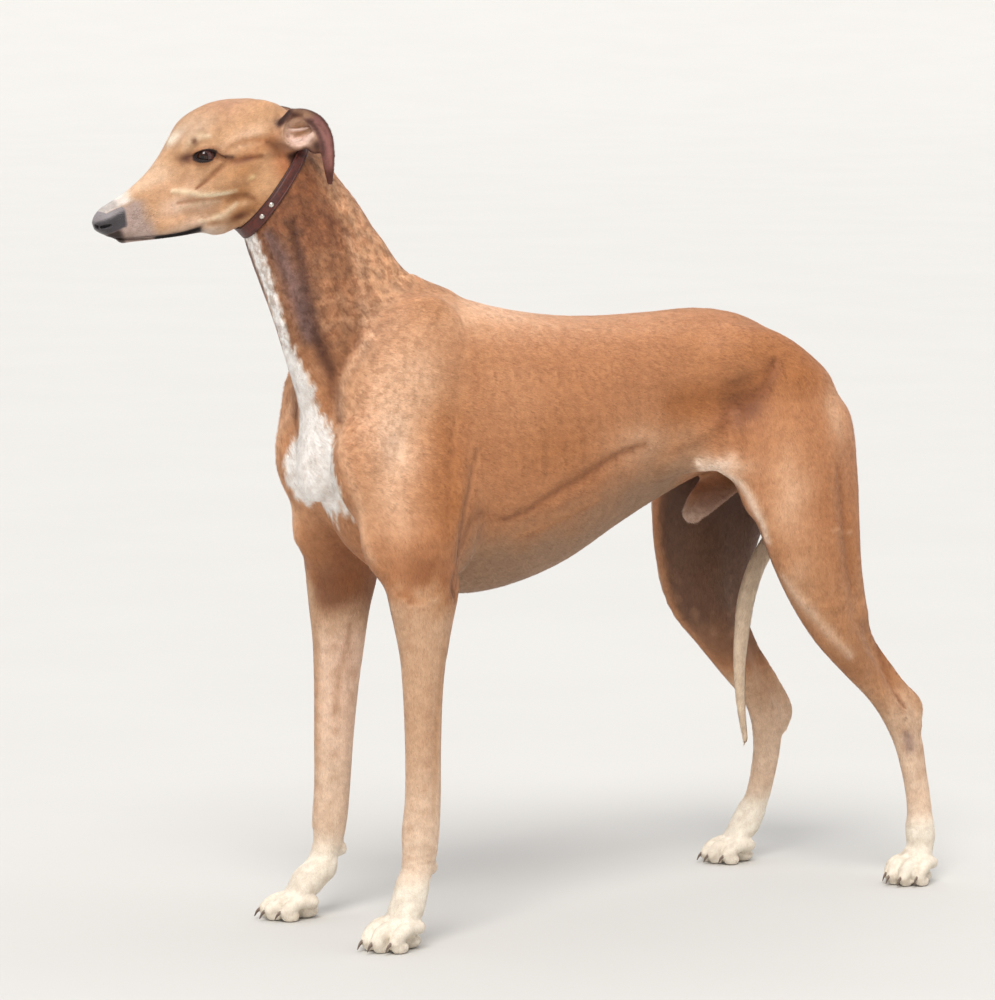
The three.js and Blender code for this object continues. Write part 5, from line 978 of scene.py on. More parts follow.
def headTone(points, normals):
    local = inHead(points)
    local[:, 1] = np.abs(local[:, 1])
    a, s, b = local.T
    uneven, fine = wander(points, 12), wander(points, 4.5, 1)
    tone = np.tile(np.array((208, 160, 118), float), (len(points), 1))
    for colour, strength, middle, spread in headWashes:
        tone = paint(tone, colour, strength * nearSpot(local, middle, spread))
    tone = paint(tone, (230, 196, 164), 0.9 * rise(a, 138, 170) * rise(b, 14, 26))
    underJaw = -30 - 0.14 * (120 - a)
    tone = paint(tone, (208, 178, 156), 0.8 * rise(b + 3 * uneven, underJaw, underJaw - 14)
                 * rise(a, 110, 130))
    tone = paint(tone, (196, 122, 76), 0.85 * rise(a, 62, 34) * rise(b, 4, -24))
    for name, colour, strength, width in headMarked:
        line = np.array(headFolds[name][2:], float)
        tone = paint(tone, colour, strength * nearLine(local, line, width, 0.6))
    # grizzled round the nose and mouth
    tone = paint(tone, (184, 162, 154), 0.95 * rise(a - 0.5 * (s - 15) + 3 * uneven, 186, 206)
                 * rise(b, 20, 10))
    tone = paint(tone, (240, 234, 228), 0.95 * rise(a + 3 * uneven, 196, 212) * rise(b, 13, 17))
    tone = paint(tone, (190, 182, 178), 0.9 * rise(a, 219, 226) * rise(b, 13, 17))
    lowLip = -27 - 0.2 * (230 - a)
    tone = paint(tone, (222, 212, 204), 0.85 * rise(b, lowLip, lowLip - 6) * rise(a, 120, 160))
    mouth = nearLine(local, np.array(mouthLine, float), 2.3, 0.9)
    mouth = np.maximum(mouth, nearLine(local, np.array([(197, 14, -34.5), (188, 16.5, -37), (170, 20.5, -42),
                                                           (153, 23.5, -45)], float), 4.4, 0.8))
    tone = paint(tone, (36, 28, 28), 1.3 * mouth)
    tone = paint(tone, (52, 38, 34), 0.95 * rise(a, 228, 236) * rise(b, -6, -9) * rise(b, -30, -24))
    tone = paint(tone, (96, 56, 38), 0.85 * nearSpot(local, (119, 33.5, 48.5), (3.4, 4, 3.4)))
    tone = paint(tone, (244, 222, 168), 0.8 * nearSpot(local, (78, 47, -14), (4, 4, 2.6)))
    # dark lids, longer at the front corner, and the skin before them
    ahead, up = a - 113, b - 28
    eye = np.hypot(ahead * np.where(ahead > 0, 0.74, 0.92) + 0.45 * up, up * 1.6 - 0.45 * ahead)
    tone = paint(tone, (164, 112, 76), 0.7 * rise(eye, 21, 14) * rise(s, 20, 26))
    tone = paint(tone, tones["rim"], rise(eye, 13.4, 11.2) * rise(s, 20, 26))
    tone = paint(tone, (104, 64, 54), 0.85 * nearSpot(local, (134, 29, 34), (7, 6, 5)))
    lashes = np.array([(99, 37, 22), (94, 39, 19), (88, 42, 15.0)])
    tone = paint(tone, (70, 40, 30), 0.8 * nearLine(local, lashes, 2.2, 0.8))
    # painted highlight: the upward-facing top of the nose leather is painted light grey, a reflection of the
    # sky
    sky = rise(normals[:, 2], 0.0, 0.9)
    tone = paint(tone, tones["leather"], noseMask(local))
    tone = paint(tone, (150, 142, 144), 0.9 * noseMask(local) * rise(b + 8 * sky, 7, 14))
    # ears: pale and ridged within, dark along the edge and on the hanging tip, with painted shadow below the
    # cup and on the flap's inner side
    rear = rise(a, 36, 26)
    cup = np.clip(1.4 * nearSpot(local, (8, 46, 6), (18, 14, 17)) * rise(s, 33, 38), 0, 1)
    tone = paint(tone, (244, 214, 200), 1.1 * cup)
    tone = paint(tone, (158, 112, 98), 0.7 * cup * rise(fine + 0.5 * np.sin(0.8 * b + 0.3 * a), 0.3, 0.95))
    # painted shadow in the gap below and behind the ear cup
    tone = paint(tone, (58, 32, 24), 0.95 * nearSpot(local, (-5, 46, -14), (7, 9, 8)))
    earCrease = np.array([(22, 44, 27), (10, 46, 29.5), (-2, 47, 28.0)])
    tone = paint(tone, (84, 44, 32), 0.9 * nearLine(local, earCrease, 4, 0.9))
    tone = paint(tone, (58, 32, 26), rear * nearLine(local, np.array([
        (24, 42, 27), (12, 44, 33), (0, 45, 32), (-12, 46, 25), (-23, 49, 8), (-26, 50, -8), (-24, 50, -22),
        (-17, 50, -40), (-5, 50, -58)]), 5.5, 0.9))
    tone = paint(tone, (150, 98, 98), 0.9 * nearLine(local, np.array([
        (-10, 54, 10), (-12, 55, -6), (-11, 55, -22), (-7, 54, -38.0)]), 4, 0.8))
    flap = a - curve([(-57, -1), (-40, -8), (-22, -14.5), (-5, -18), (12, -15), (24, -8)])(b)
    hanging = rear * rise(s, 38, 42) * rise(b, 24, 14) * rise(flap, 12, 6)
    tone = paint(tone, (150, 100, 96), 0.9 * hanging)
    tone = paint(tone, (84, 52, 46), 0.85 * hanging * rise(flap, 2, 7) * rise(b, -40, -20))
    tone = paint(tone, (78, 36, 24), 0.9 * hanging * rise(flap, -3, -7))
    # painted shade low on the inner side of the hanging flap and on the neck beneath it
    tone = paint(tone, (62, 34, 26), 0.9 * rear * rise(s, 47, 43) * rise(b, -6, -14))
    tone = paint(tone, (76, 34, 22), 0.9 * nearSpot(local, (-3, 49, -52), (9, 8, 13)))
    return tone * (1 + 0.03 * fine)[:, None]


def noseMask(local):
    a, s, b = local[:, 0], np.abs(local[:, 1]), local[:, 2]
    back = 216 + 0.3 * np.abs(b - 10)
    under = 13.5 + 0.8 * np.maximum(a - 238, 0)
    mask = rise(a, back, back + 4) * rise(b, -8.5, -6.5) * rise(b, under + 1.5, under)
    return mask * rise(a + 1.1 * (b - 2), 210, 214)


class Wire:   # a shader socket that can be reckoned with as a number
    def __init__(self, finish, socket):
        self.finish, self.socket = finish, socket

    def math(self, operation, other=0.0, swapped=False):
        values = [other, self] if swapped else [self, other]
        return self.finish.node("ShaderNodeMath", {"operation": operation}, dict(enumerate(values)))

    def __add__(self, other):
        return self.math("ADD", other)

    def __sub__(self, other):
        return self.math("SUBTRACT", other)

    def __rsub__(self, other):
        return self.math("SUBTRACT", other, True)

    def __mul__(self, other):
        return self.math("MULTIPLY", other)

    def __truediv__(self, other):
        return self.math("DIVIDE", other)

    def __rtruediv__(self, other):
        return self.math("DIVIDE", other, True)

    def __pow__(self, other):
        return self.math("POWER", other)

    __radd__, __rmul__ = __add__, __mul__


def linear(r, g, b):   # screen colour 0 to 255 to the shader's own
    return tuple(((c / 255 + 0.055) / 1.055) ** 2.4 if c > 10.3 else c / 255 / 12.92
                 for c in (r, g, b)) + (1,)


class Finish:
    def __init__(self, name, **shader):
        self.material = bpy.data.materials.new(name)
        self.material.use_nodes = True
        self.tree = self.material.node_tree
        self.shader = self.tree.nodes["Principled BSDF"]
        for socket, value in shader.items():
            self.shader.inputs[socket.replace("_", " ")].default_value = value

    def node(self, kind, settings=None, inputs=None, output=0):
        node = self.tree.nodes.new(kind)
        for name, value in (settings or {}).items():
            setattr(node, name, value)
        for key, value in (inputs or {}).items():
            if isinstance(value, Wire):
                self.tree.links.new(value.socket, node.inputs[key])
            else:
                node.inputs[key].default_value = value
        return Wire(self, node.outputs[output])

    def feed(self, **sockets):
        for name, wire in sockets.items():
            self.tree.links.new(wire.socket, self.shader.inputs[name.replace("_", " ")])
        return self.material

    def place(self):   # the point on the object, in metres
        return self.node("ShaderNodeTexCoord", output="Object")

    def attribute(self, name, output="Color"):
        return self.node("ShaderNodeAttribute", {"attribute_name": name}, output=output)

    def noise(self, where, scale, detail=3.0, rough=0.5, stretch=None, output="Fac"):
        if stretch:
            where = self.node("ShaderNodeVectorMath", {"operation": "MULTIPLY"}, {0: where, 1: stretch})
        return self.node("ShaderNodeTexNoise", {}, {"Vector": where, "Scale": scale, "Detail": detail,
                                                    "Roughness": rough}, output)

    def cells(self, where, scale, feature="F1", output="Distance"):
        inputs = {"Vector": where, "Scale": scale}
        return self.node("ShaderNodeTexVoronoi", {"feature": feature}, inputs, output)

    def span(self, wire, low, high, start=0.0, end=1.0):
        return self.node("ShaderNodeMapRange", {"interpolation_type": "SMOOTHSTEP"},
                         {"Value": wire, "From Min": low, "From Max": high, "To Min": start, "To Max": end})

    def mix(self, share, a, b, blend="MIX"):
        settings = {"data_type": "RGBA", "blend_type": blend}
        return self.node("ShaderNodeMix", settings, {0: share, 6: a, 7: b}, 2)

    def bump(self, height, distance, strength=1.0, under=None):
        values = {"Height": height, "Distance": distance, "Strength": strength}
        if under:
            values["Normal"] = under
        return self.node("ShaderNodeBump", {}, values)


def coatFinish(name, hair):   # short coat over skin, with bare leather where the mask says so
    finish = Finish(name, Sheen_Weight=0.1, Sheen_Roughness=0.4, Specular_IOR_Level=0.4)
    tone = finish.attribute("coatTone")
    grain = finish.attribute("grain", "Vector")   # the place, with X along the hair
    bare = finish.attribute("bare", "Fac")
    mottle = finish.attribute("mottle", "Fac")
    place = finish.place()
    strands = finish.noise(grain, 1.0, 3, 0.6, (190.0, 1700.0, 1700.0))
    locks = finish.noise(grain, 1.0, 2, 0.55, (60.0, 330.0, 330.0))
    patches = finish.noise(place, 30.0, 4, 0.62)
    swirls = finish.noise(place, 120.0, 3, 0.6)
    darker = finish.mix(1.0, tone, (0.72, 0.63, 0.56, 1), "MULTIPLY")
    lighter = finish.mix(1.0, tone, (1.16, 1.17, 1.16, 1), "MULTIPLY")
    furry = 1 - bare
    colour = finish.mix(finish.span(strands, 0.36, 0.64), darker, lighter)
    colour = finish.mix(0.46 * furry, tone, colour)
    colour = finish.mix(finish.span(locks, 0.5, 0.74) * 0.24 * furry, colour, darker)
    colour = finish.mix(finish.span(patches, 0.46, 0.68) * 0.24 * furry, colour, darker)
    colour = finish.mix(finish.span(patches, 0.5, 0.34) * 0.14 * furry, colour, lighter)
    colour = finish.mix(finish.span(swirls, 0.5, 0.6) * 0.9 * mottle, colour, darker)
    colour = finish.mix(finish.span(swirls, 0.48, 0.38) * 0.8 * mottle, colour, lighter)
    rough = (0.5 + 0.14 * strands) * furry + (0.3 + 0.22 * patches) * bare
    normal = finish.bump(strands * furry + 0.7 * locks * furry, 0.0005, 0.5 if not hair else 0.22)
    normal = finish.bump(swirls * mottle, 0.002, 0.8, normal)
    if not hair:
        pebbles = finish.cells(place, 620.0)
        normal = finish.bump(pebbles * bare, 0.0006, 0.8, normal)
    return finish.feed(Base_Color=colour, Roughness=rough, Normal=normal)


def eyeFinish():
    finish = Finish("dark brown eye", Coat_Weight=0.35, Coat_Roughness=0.03, Specular_IOR_Level=0.3)
    where = finish.attribute("gaze", "Vector")   # metres from the pupil, square to the gaze
    fromPupil = finish.node("ShaderNodeVectorMath", {"operation": "LENGTH"}, {0: where}, "Value")
    rays = finish.noise(where, 1.0, 3, 0.6, (900.0, 900.0, 300.0))
    iris = finish.mix(finish.span(rays, 0.35, 0.7), linear(34, 15, 9), linear(66, 32, 17))
    iris = finish.mix(finish.span(fromPupil, 0.0046, 0.0062), iris, linear(22, 11, 8))
    colour = finish.mix(finish.span(fromPupil, 0.0021, 0.0025), linear(5, 4, 5), iris)
    white = finish.mix(finish.span(finish.noise(where, 1.0, 2, 0.5, (500.0, 500.0, 500.0)), 0.4, 0.7),
                       linear(96, 66, 62), linear(66, 38, 34))
    colour = finish.mix(finish.span(fromPupil, 0.0062, 0.0068), colour, white)
    rough = 0.08 + 0.12 * finish.span(fromPupil, 0.0062, 0.008)
    return finish.feed(Base_Color=colour, Roughness=rough)


def clawFinish():
    finish = Finish("claw horn", Coat_Weight=0.25, Coat_Roughness=0.3)
    place = finish.place()
    along = finish.attribute("along", "Fac")
    streaks = finish.noise(place, 1.0, 3, 0.6, (250.0, 1400.0, 1400.0))
    colour = finish.mix(finish.span(along, 0.1, 0.95), linear(132, 110, 94), linear(84, 68, 60))
    colour = finish.mix(0.4 * finish.span(streaks, 0.4, 0.7), colour, linear(166, 146, 128))
    return finish.feed(Base_Color=colour, Roughness=0.32 + 0.25 * streaks,
                       Normal=finish.bump(streaks, 0.0004, 0.5))


def leatherFinish():
    finish = Finish("oxblood collar leather", Coat_Weight=0.15, Coat_Roughness=0.35)
    place = finish.place()
    across = finish.attribute("across", "Fac")   # 0 at one edge, 1 at the other
    grain = finish.cells(place, 900.0)
    creases = finish.noise(place, 260.0, 4, 0.6)
    edge = finish.span((across - 0.5).math("ABSOLUTE"), 0.36, 0.47)
    colour = finish.mix(finish.span(creases, 0.35, 0.7), linear(66, 22, 13), linear(98, 38, 22))
    colour = finish.mix(0.7 * edge, colour, linear(38, 13, 9))
    worn = finish.span(finish.noise(place, 120.0, 3, 0.6), 0.55, 0.75)
    colour = finish.mix(0.35 * worn, colour, linear(132, 64, 40))
    normal = finish.bump(grain, 0.0004, 0.5, finish.bump(creases, 0.0006, 0.4))
    return finish.feed(Base_Color=colour, Roughness=0.42 + 0.22 * creases, Normal=normal)


def metalFinish():
    finish = Finish("nickel plate", Metallic=1.0)
    place = finish.place()
    wear = finish.noise(place, 420.0, 4, 0.65)
    colour = finish.mix(finish.span(wear, 0.4, 0.75), linear(226, 222, 214), linear(170, 160, 146))
    return finish.feed(Base_Color=colour, Roughness=0.16 + 0.26 * wear,
                       Normal=finish.bump(finish.noise(place, 900.0, 2, 0.5), 0.0002, 0.3))


skinFinish, tuftFinish = coatFinish("greyhound skin and coat", False), coatFinish("greyhound coat", True)


# Everything above is in millimetres as drawn; the model's own place comes from where its left eye is
eyeSpot = {s: np.array((112, s * 25, 27.0)) for s in (-1, 1)}
low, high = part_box("eye_left")
modelShift = (np.array(low) + np.array(high)) / 2 - move(headFrame, eyeSpot[1]) / 1000


def meshOf(name, points, faces, finish, smooth=True, **attributes):
    mesh = bpy.data.meshes.new(name)
    faces = np.ascontiguousarray(faces, np.int32)
    mesh.vertices.add(len(points))
    mesh.vertices.foreach_set("co", (points / 1000 + modelShift).astype(np.float32).ravel())
    mesh.loops.add(faces.size)
    mesh.loops.foreach_set("vertex_index", faces.ravel())
    mesh.polygons.add(len(faces))
    mesh.polygons.foreach_set("loop_start", np.arange(0, faces.size, faces.shape[1], dtype=np.int32))
    mesh.update(calc_edges=True)
    mesh.polygons.foreach_set("use_smooth", np.full(len(faces), smooth))
    for key, values in attributes.items():
        kind, slot = {4: ("FLOAT_COLOR", "color"), 3: ("FLOAT_VECTOR", "vector"), 1: ("FLOAT", "value")}[
            values.shape[1] if values.ndim > 1 else 1]
        mesh.attributes.new(key, kind, "POINT").data.foreach_set(slot, values.astype(np.float32).ravel())
    mesh.materials.append(finish)
    piece = bpy.data.objects.new(name, mesh)
    bpy.context.scene.collection.objects.link(piece)
    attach(piece, "root")
    return piece


def toShader(tone):   # screen colours 0 to 255 to the shader's own, with an alpha
    share = np.clip(tone / 255, 0, 1)
    share = np.where(share > 0.0404, ((share + 0.055) / 1.055) ** 2.4, share / 12.92)
    return np.hstack([share, np.ones((len(share), 1))])


def grainAt(points, weight):   # the place, turned so that X runs along the coat
    part = weight.argmax(1)
    grain = np.zeros_like(points)
    for k, name in enumerate(partNames):
        turned = frameOf((0, 0, 0), lieOf[name], (0, 1, 0.2))[:3, :3]
        grain[part == k] = points[part == k] @ turned
    return grain / 1000


# The skin
normals, headNormals = normalsOf(points, faces), normalsOf(headPoints, headFaces)
weight = partWeights(points)
headWeight = np.zeros((len(headPoints), len(partNames)))
headWeight[:, partNames.index("head")] = 1
allPoints = np.vstack([points, headPoints])
allFaces = np.vstack([faces, headFaces + len(points)])
allNormals = np.vstack([normals, headNormals])
allWeight = np.vstack([weight, headWeight])
tone = np.vstack([bodyTone(points, normals, weight), headTone(headPoints, headNormals)])
headLocal = inHead(headPoints)
eyeGap = [np.linalg.norm(headLocal - eyeSpot[s], axis=1) for s in (-1, 1)]
bareRim = 0.8 * rise(np.minimum(*eyeGap), 13.5, 11.5)
bare = np.concatenate([0.6 * rise(points[:, 2], 3, 1.2), np.maximum(noseMask(headLocal), bareRim)])
# where the coat is mottled: the neck most, then the shoulder, and a little all over
mottle = np.clip(0.22 + 0.75 * allWeight[:, 1] * rise(allPoints[:, 2], 640, 700)
                 + 0.35 * nearSpot(np.abs(allPoints), (20, 80, 610), (60, 60, 90)), 0, 1)
skin = meshOf("skin", allPoints, allFaces, skinFinish, coatTone=toShader(tone),
              grain=grainAt(allPoints, allWeight), bare=bare, mottle=mottle)
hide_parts("torso", "neck", "head", "nose", "ear_left", "ear_right", "tail",
            *(name + part for name in feet for part in ("_leg", "_paw")))
print("skin:", len(allFaces), "triangles")


# The eyes
def eyeBall(s):
    ball = {"radius": 10.9, "cornea": 0.8, "gaze": (0.5, s * 0.86, 0.1)}
    rings, spokes = 40, 48
    turn = np.linspace(0, np.pi, rings)
    bulge = ball["cornea"] * np.exp(-(np.sin(turn) * ball["radius"] / 5.6) ** 4) * (np.cos(turn) > 0)
    radius = ball["radius"] + bulge
    around = np.arange(spokes) * 2 * np.pi / spokes
    profile = np.stack([radius * np.cos(turn), radius * np.sin(turn)], 1)[1:-1]
    points = np.stack([np.repeat(profile[:, 0], spokes), np.outer(profile[:, 1], np.cos(around)).ravel(),
                       np.outer(profile[:, 1], np.sin(around)).ravel()], 1)
    points = np.vstack([points, [(radius[0], 0, 0), (-radius[-1], 0, 0)]])
    k, last = np.arange(spokes), (len(profile) - 1) * spokes
    faces = np.vstack([halved(ringQuads(len(profile), spokes)), fan(len(points) - 2, k),
                       fan(len(points) - 1, last + k)[:, ::-1]])
    gaze = headFrame @ frameOf(eyeSpot[s], ball["gaze"], (0, 0, 1))
    fromPupil = points.copy()
    fromPupil[:, 0] = np.where(points[:, 0] > 0, 0, points[:, 0])
    side = "left" if s > 0 else "right"
    eye = meshOf("eye_" + side + "_glossy", move(gaze, points), faces[:, ::-1], eyeFinish(),
                 gaze=fromPupil / 1000)
    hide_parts("eye_" + side)


for s in (-1, 1):
    eyeBall(s)


# The claws
def clawsOf():
    horn = {"thickness": [0.33, 0.325, 0.305, 0.27, 0.23, 0.18, 0.125, 0.06], "narrow": 0.72, "sides": 14}
    points, faces, along = [], [], []
    count = 0
    for matrix, root, height, leg in feet.values():
        for reach, spread, thick in toes:
            at = spline([(reach - 7, spread * 1.03, 14), (reach - 0.5, spread * 1.03, 13.2),
                         (reach + 5, spread * 1.03, 9.6), (reach + 8.6, spread * 1.03, 3.4)])
            share = np.linspace(0, 1, 22)
            path = np.array([at(t) for t in share])
            radius = thick * np.interp(share, np.linspace(0, 1, 8), horn["thickness"])
            step = np.gradient(path, axis=0)
            step /= np.linalg.norm(step, axis=1)[:, None]
            across = np.tile((0.0, 1.0, 0.0), (len(path), 1))
            up = np.cross(step, across)
            turn = np.arange(horn["sides"]) * 2 * np.pi / horn["sides"]
            ring = np.stack([horn["narrow"] * np.cos(turn),
                             np.sin(turn) * np.where(np.sin(turn) < 0, 0.86, 1)], 1)
            solid = np.concatenate([c + r * (ring[:, :1] * a + ring[:, 1:] * u)
                                    for c, r, a, u in zip(path, radius, across, -up)]
                                    + [path[:1], path[-1:]])
            k, last = np.arange(horn["sides"]), (len(path) - 1) * horn["sides"]
            sleeve = halved(ringQuads(len(path), horn["sides"]))[:, ::-1]
            end = len(solid) - 1
            faces.append(np.vstack([sleeve, fan(end - 1, k)[:, ::-1], fan(end, last + k)]) + count)
            points.append(move(matrix, solid))
            along.append(np.append(np.repeat(share, horn["sides"]), (0, 1)))
            count += len(solid)
    claws = meshOf("claws", np.vstack(points), np.vstack(faces), clawFinish(), along=np.concatenate(along))
    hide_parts(*(name + "_claw_" + toe for name in feet
                         for toe in ("outer", "outer_middle", "inner_middle", "inner")))


clawsOf()
print("eyes and claws")


# The collar: a strap that follows the neck, four studs, and a ring in its keeper
collar = {"width": 13, "sunk": 0.9, "thickness": 2.9, "below": 9, "edge": 0.9, "stud": 3.1, "ring": 8.5,
          "wire": 1.45, "ringTurn": math.radians(98), "studTurns": (-18, -34, -146, -162)}


def neckAt(turns, x):   # how far the flesh reaches from the collar's axis
    low, high = np.full(len(turns), 10.0), np.full(len(turns), 140.0)
    for _ in range(22):
        middle = (low + high) / 2
        spots = np.stack([np.full(len(turns), x), middle * np.cos(turns), middle * np.sin(turns)], 1)
        inner = neckFlesh.value(move(collarFrame, spots)) < 0
        low, high = np.where(inner, middle, low), np.where(inner, high, middle)
    return low


def smoothRing(radius, turns=2):
    for _ in range(turns):
        radius = (np.roll(radius, 1) + 2 * radius + np.roll(radius, -1)) / 4
    return radius


def collarBand():
    count = 220
    turns = np.arange(count) * 2 * np.pi / count
    half = collar["width"] / 2
    rims = [smoothRing(neckAt(turns, -collar["below"] + end * half)) - collar["sunk"] for end in (-1, 1)]
    t, w, e = collar["thickness"], half, collar["edge"]
    outline = [(-w, 0), (w, 0), (w, t - e), (w - 0.35 * e, t - 0.3 * e), (w - e, t), (w - 2.0, t),
               (w - 2.3, t - 0.35), (w - 2.6, t), (2, t + 0.15), (-2, t + 0.15), (-w + 2.6, t),
               (-w + 2.3, t - 0.35), (-w + 2.0, t), (-w + e, t), (-w + 0.35 * e, t - 0.3 * e), (-w, t - e)]
    points, across = [], []
    for i, turn in enumerate(turns):
        for x, lift in outline:
            share = (x + half) / (2 * half)
            radius = rims[0][i] * (1 - share) + rims[1][i] * share + lift
            points.append((-collar["below"] + x, radius * math.cos(turn), radius * math.sin(turn)))
            across.append(share)
    strap = meshOf("collar_band", move(collarFrame, np.array(points)), ringQuads(count, len(outline), True),
                   leatherFinish(), across=np.array(across))
    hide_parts("collar_strap")


def onStrap(turn, lift):   # a frame on the strap: Y out of it, Z along the neck
    rims = [neckAt(np.array([turn]), -collar["below"] + end * collar["width"] / 2)[0] for end in (-1, 1)]
    radius = sum(rims) / 2 - collar["sunk"] + collar["thickness"] + lift
    matrix = np.eye(4)
    out, along = np.array((0, math.cos(turn), math.sin(turn))), np.array((1.0, 0, 0))
    matrix[:3, 0], matrix[:3, 1], matrix[:3, 2] = np.cross(out, along), out, along
    matrix[:3, 3] = (-collar["below"], radius * math.cos(turn), radius * math.sin(turn))
    return collarFrame @ matrix


def turned(profile, spokes=28):   # a profile of radius and height, turned about Y
    profile = np.array(profile, float)
    around = np.arange(spokes) * 2 * np.pi / spokes
    points = np.stack([np.outer(profile[:, 0], np.cos(around)), np.repeat(profile[:, 1:], spokes, 1),
                       np.outer(profile[:, 0], np.sin(around))], 2).reshape(-1, 3)
    return points, ringQuads(len(profile), spokes)


def wireRing(radius, wire, around=64, sides=16):   # lies in the plane of Y and Z
    big, small = np.meshgrid(np.arange(around) * 2 * np.pi / around, np.arange(sides) * 2 * np.pi / sides,
                             indexing="ij")
    reach = radius + wire * np.cos(small)
    points = np.stack([wire * np.sin(small), reach * np.cos(big), reach * np.sin(big)], 2).reshape(-1, 3)
    return points, ringQuads(around, sides, True)


def collarFittings():
    metal = metalFinish()
    points, faces, count = [], [], 0
    r = collar["stud"]
    dome = [(0.02, -1.2), (r * 0.6, -1.2), (r * 0.98, -0.6), (r, 0.1), (r * 0.95, 0.7), (r * 0.8, 1.3),
            (r * 0.58, 1.75), (r * 0.3, 2.02), (0.02, 2.1)]
    for degrees in collar["studTurns"]:
        spots, quads = turned(dome)
        points.append(move(onStrap(math.radians(degrees), 0.2), spots))
        faces.append(quads + count)
        count += len(spots)
    studs = meshOf("collar_studs_domed", np.vstack(points), np.vstack(faces), metal)
    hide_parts(*("collar_stud_" + str(i) for i in (1, 2, 3, 4)))
    spots, quads = wireRing(collar["ring"], collar["wire"])
    spots = move(onStrap(collar["ringTurn"], collar["ring"] + 2.4), spots)
    ring = meshOf("collar_ring_wire", spots, quads, metal)
    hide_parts("collar_ring")
    # the keeper is a loop of the same leather over the foot of the ring
    sides, high, half = 26, 4.8, (4.3, 3.4)
    turn = np.arange(sides) * 2 * np.pi / sides
    loop = np.stack([half[0] * np.cos(turn), half[1] * np.sin(turn)], 1)
    stations = [(-high, 0.86), (-4.4, 0.97), (-3.4, 1), (-1.5, 0.96), (0, 0.98), (1.5, 0.96), (3.4, 1),
                (4.4, 0.97), (high, 0.86)]
    rings = [np.stack([loop[:, 0] * s, loop[:, 1] * s, np.full(sides, z)], 1) for z, s in stations]
    spots = np.vstack(rings + [np.array([(0, 0, -high), (0, 0, high)])])
    k, last = np.arange(sides), (len(stations) - 1) * sides
    trios = np.vstack([halved(ringQuads(len(stations), sides))[:, ::-1], fan(len(spots) - 2, k)[:, ::-1],
                       fan(len(spots) - 1, last + k)])
    across = np.append(np.repeat([(z + high) / (2 * high) for z, s in stations], sides), (0, 1))
    keeper = meshOf("collar_keeper_loop", move(onStrap(collar["ringTurn"], 3.2), spots), trios,
                    leatherFinish(), across=across)
    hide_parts("collar_keeper")


collarBand()
collarFittings()
print("collar")


# The coat: thin flat tufts of short hair that lie along the body and overlap, length and width of each in mm
coat = {"cover": 0.75, "trunk": (6.4, 0.52), "neck": (7.0, 0.52), "head": (3.0, 0.36),
        "leftFore": (4.6, 0.46), "rightFore": (4.6, 0.46), "leftHind": (5.2, 0.48), "rightHind": (5.2, 0.48),
        "tail": (8.5, 0.5), "seed": 7, "most": 190000, "rootDepth": 0.12, "eyeClear": 14, "soleClear": 2.5,
        "barest": 0.25, "strap": (-15, -3), "strapReach": 95, "patch": 0.0015}


# where a place is on a flat plan of the skin: each part is rolled out round its axis
def unwrapped(points, weight):
    part = weight.argmax(1)
    axes = {"trunk": ((-60, 0, 560), (1, 0, 0), 760, (0.0, 0.0, 0.5, 0.45)),
            "neck": ((60, 0, 600), (-0.42, 0.15, 0.9), 330, (0.52, 0.0, 0.46, 0.3)),
            "head": (tuple(headFrame[:3, 3]), tuple(headFrame[:3, 0]), 270, (0.52, 0.32, 0.46, 0.3)),
            "leftFore": ((40, -104, 0), (0, 0, 1), 470, (0.0, 0.48, 0.24, 0.24)),
            "rightFore": ((45, 104, 0), (0, 0, 1), 470, (0.26, 0.48, 0.24, 0.24)),
            "leftHind": ((640, -100, 0), (-0.1, 0, 1), 640, (0.0, 0.74, 0.24, 0.25)),
            "rightHind": ((620, 100, 0), (-0.1, 0, 1), 640, (0.26, 0.74, 0.24, 0.25)),
            "tail": ((640, 20, 150), (0, 0, 1), 430, (0.52, 0.64, 0.22, 0.2))}
    flat = np.zeros((len(points), 2))
    for k, name in enumerate(partNames):
        origin, axis, length, (u, v, wide, tall) = axes[name]
        frame = frameOf(origin, axis, (0.1, 1, 0.1))
        mine = part == k
        local = (points[mine] - frame[:3, 3]) @ frame[:3, :3]
        along = np.clip(local[:, 0] / length, 0, 1)
        around = np.arctan2(local[:, 1], local[:, 2]) / (2 * np.pi) + 0.5
        flat[mine] = np.stack([u + along * wide * 0.97, v + around * tall * 0.97], 1)
    return flat


# where the hair is longest: behind the thighs, below the tail, the breast
def ruffled(points, normals, weight):
    x, y, z = points.T
    rear = (weight[:, 5] + weight[:, 6] + weight[:, 0] * rise(x, 560, 620)) * rise(normals[:, 0], 0.45, 0.85)
    rear = rear * rise(z, 300, 360)
    under = weight[:, 7] * rise(normals[:, 0] + normals[:, 1] * 0.5, 0.2, 0.8) * rise(z, 190, 230)
    breast = (weight[:, 0] + weight[:, 1]) * rise(-normals[:, 0], 0.6, 0.9)
    breast = breast * rise(z, 470, 500) * rise(z, 660, 620)
    keel = weight[:, 0] * rise(-normals[:, 2], 0.75, 0.95) * rise(np.abs(y), 24, 8) * rise(x, 560, 500)
    return np.clip(0.8 * rear + 0.8 * under + 0.6 * breast + 0.5 * keel, 0, 1)


def tuftSizes(middle, weight, normals):
    size = weight @ np.array([coat[name] for name in partNames])
    low = rise(middle[:, 2], 130, 50) * weight[:, 3:7].sum(1)   # down to the feet
    size *= (1 - 0.42 * low)[:, None]
    onFace = weight[:, 2] * rise(inHead(middle)[:, 0], 60, 170)
    size *= np.stack([1 - 0.35 * onFace, 1 - 0.2 * onFace], 1)
    size[:, 0] *= 1 + 0.5 * ruffled(middle, normals, weight)
    return size


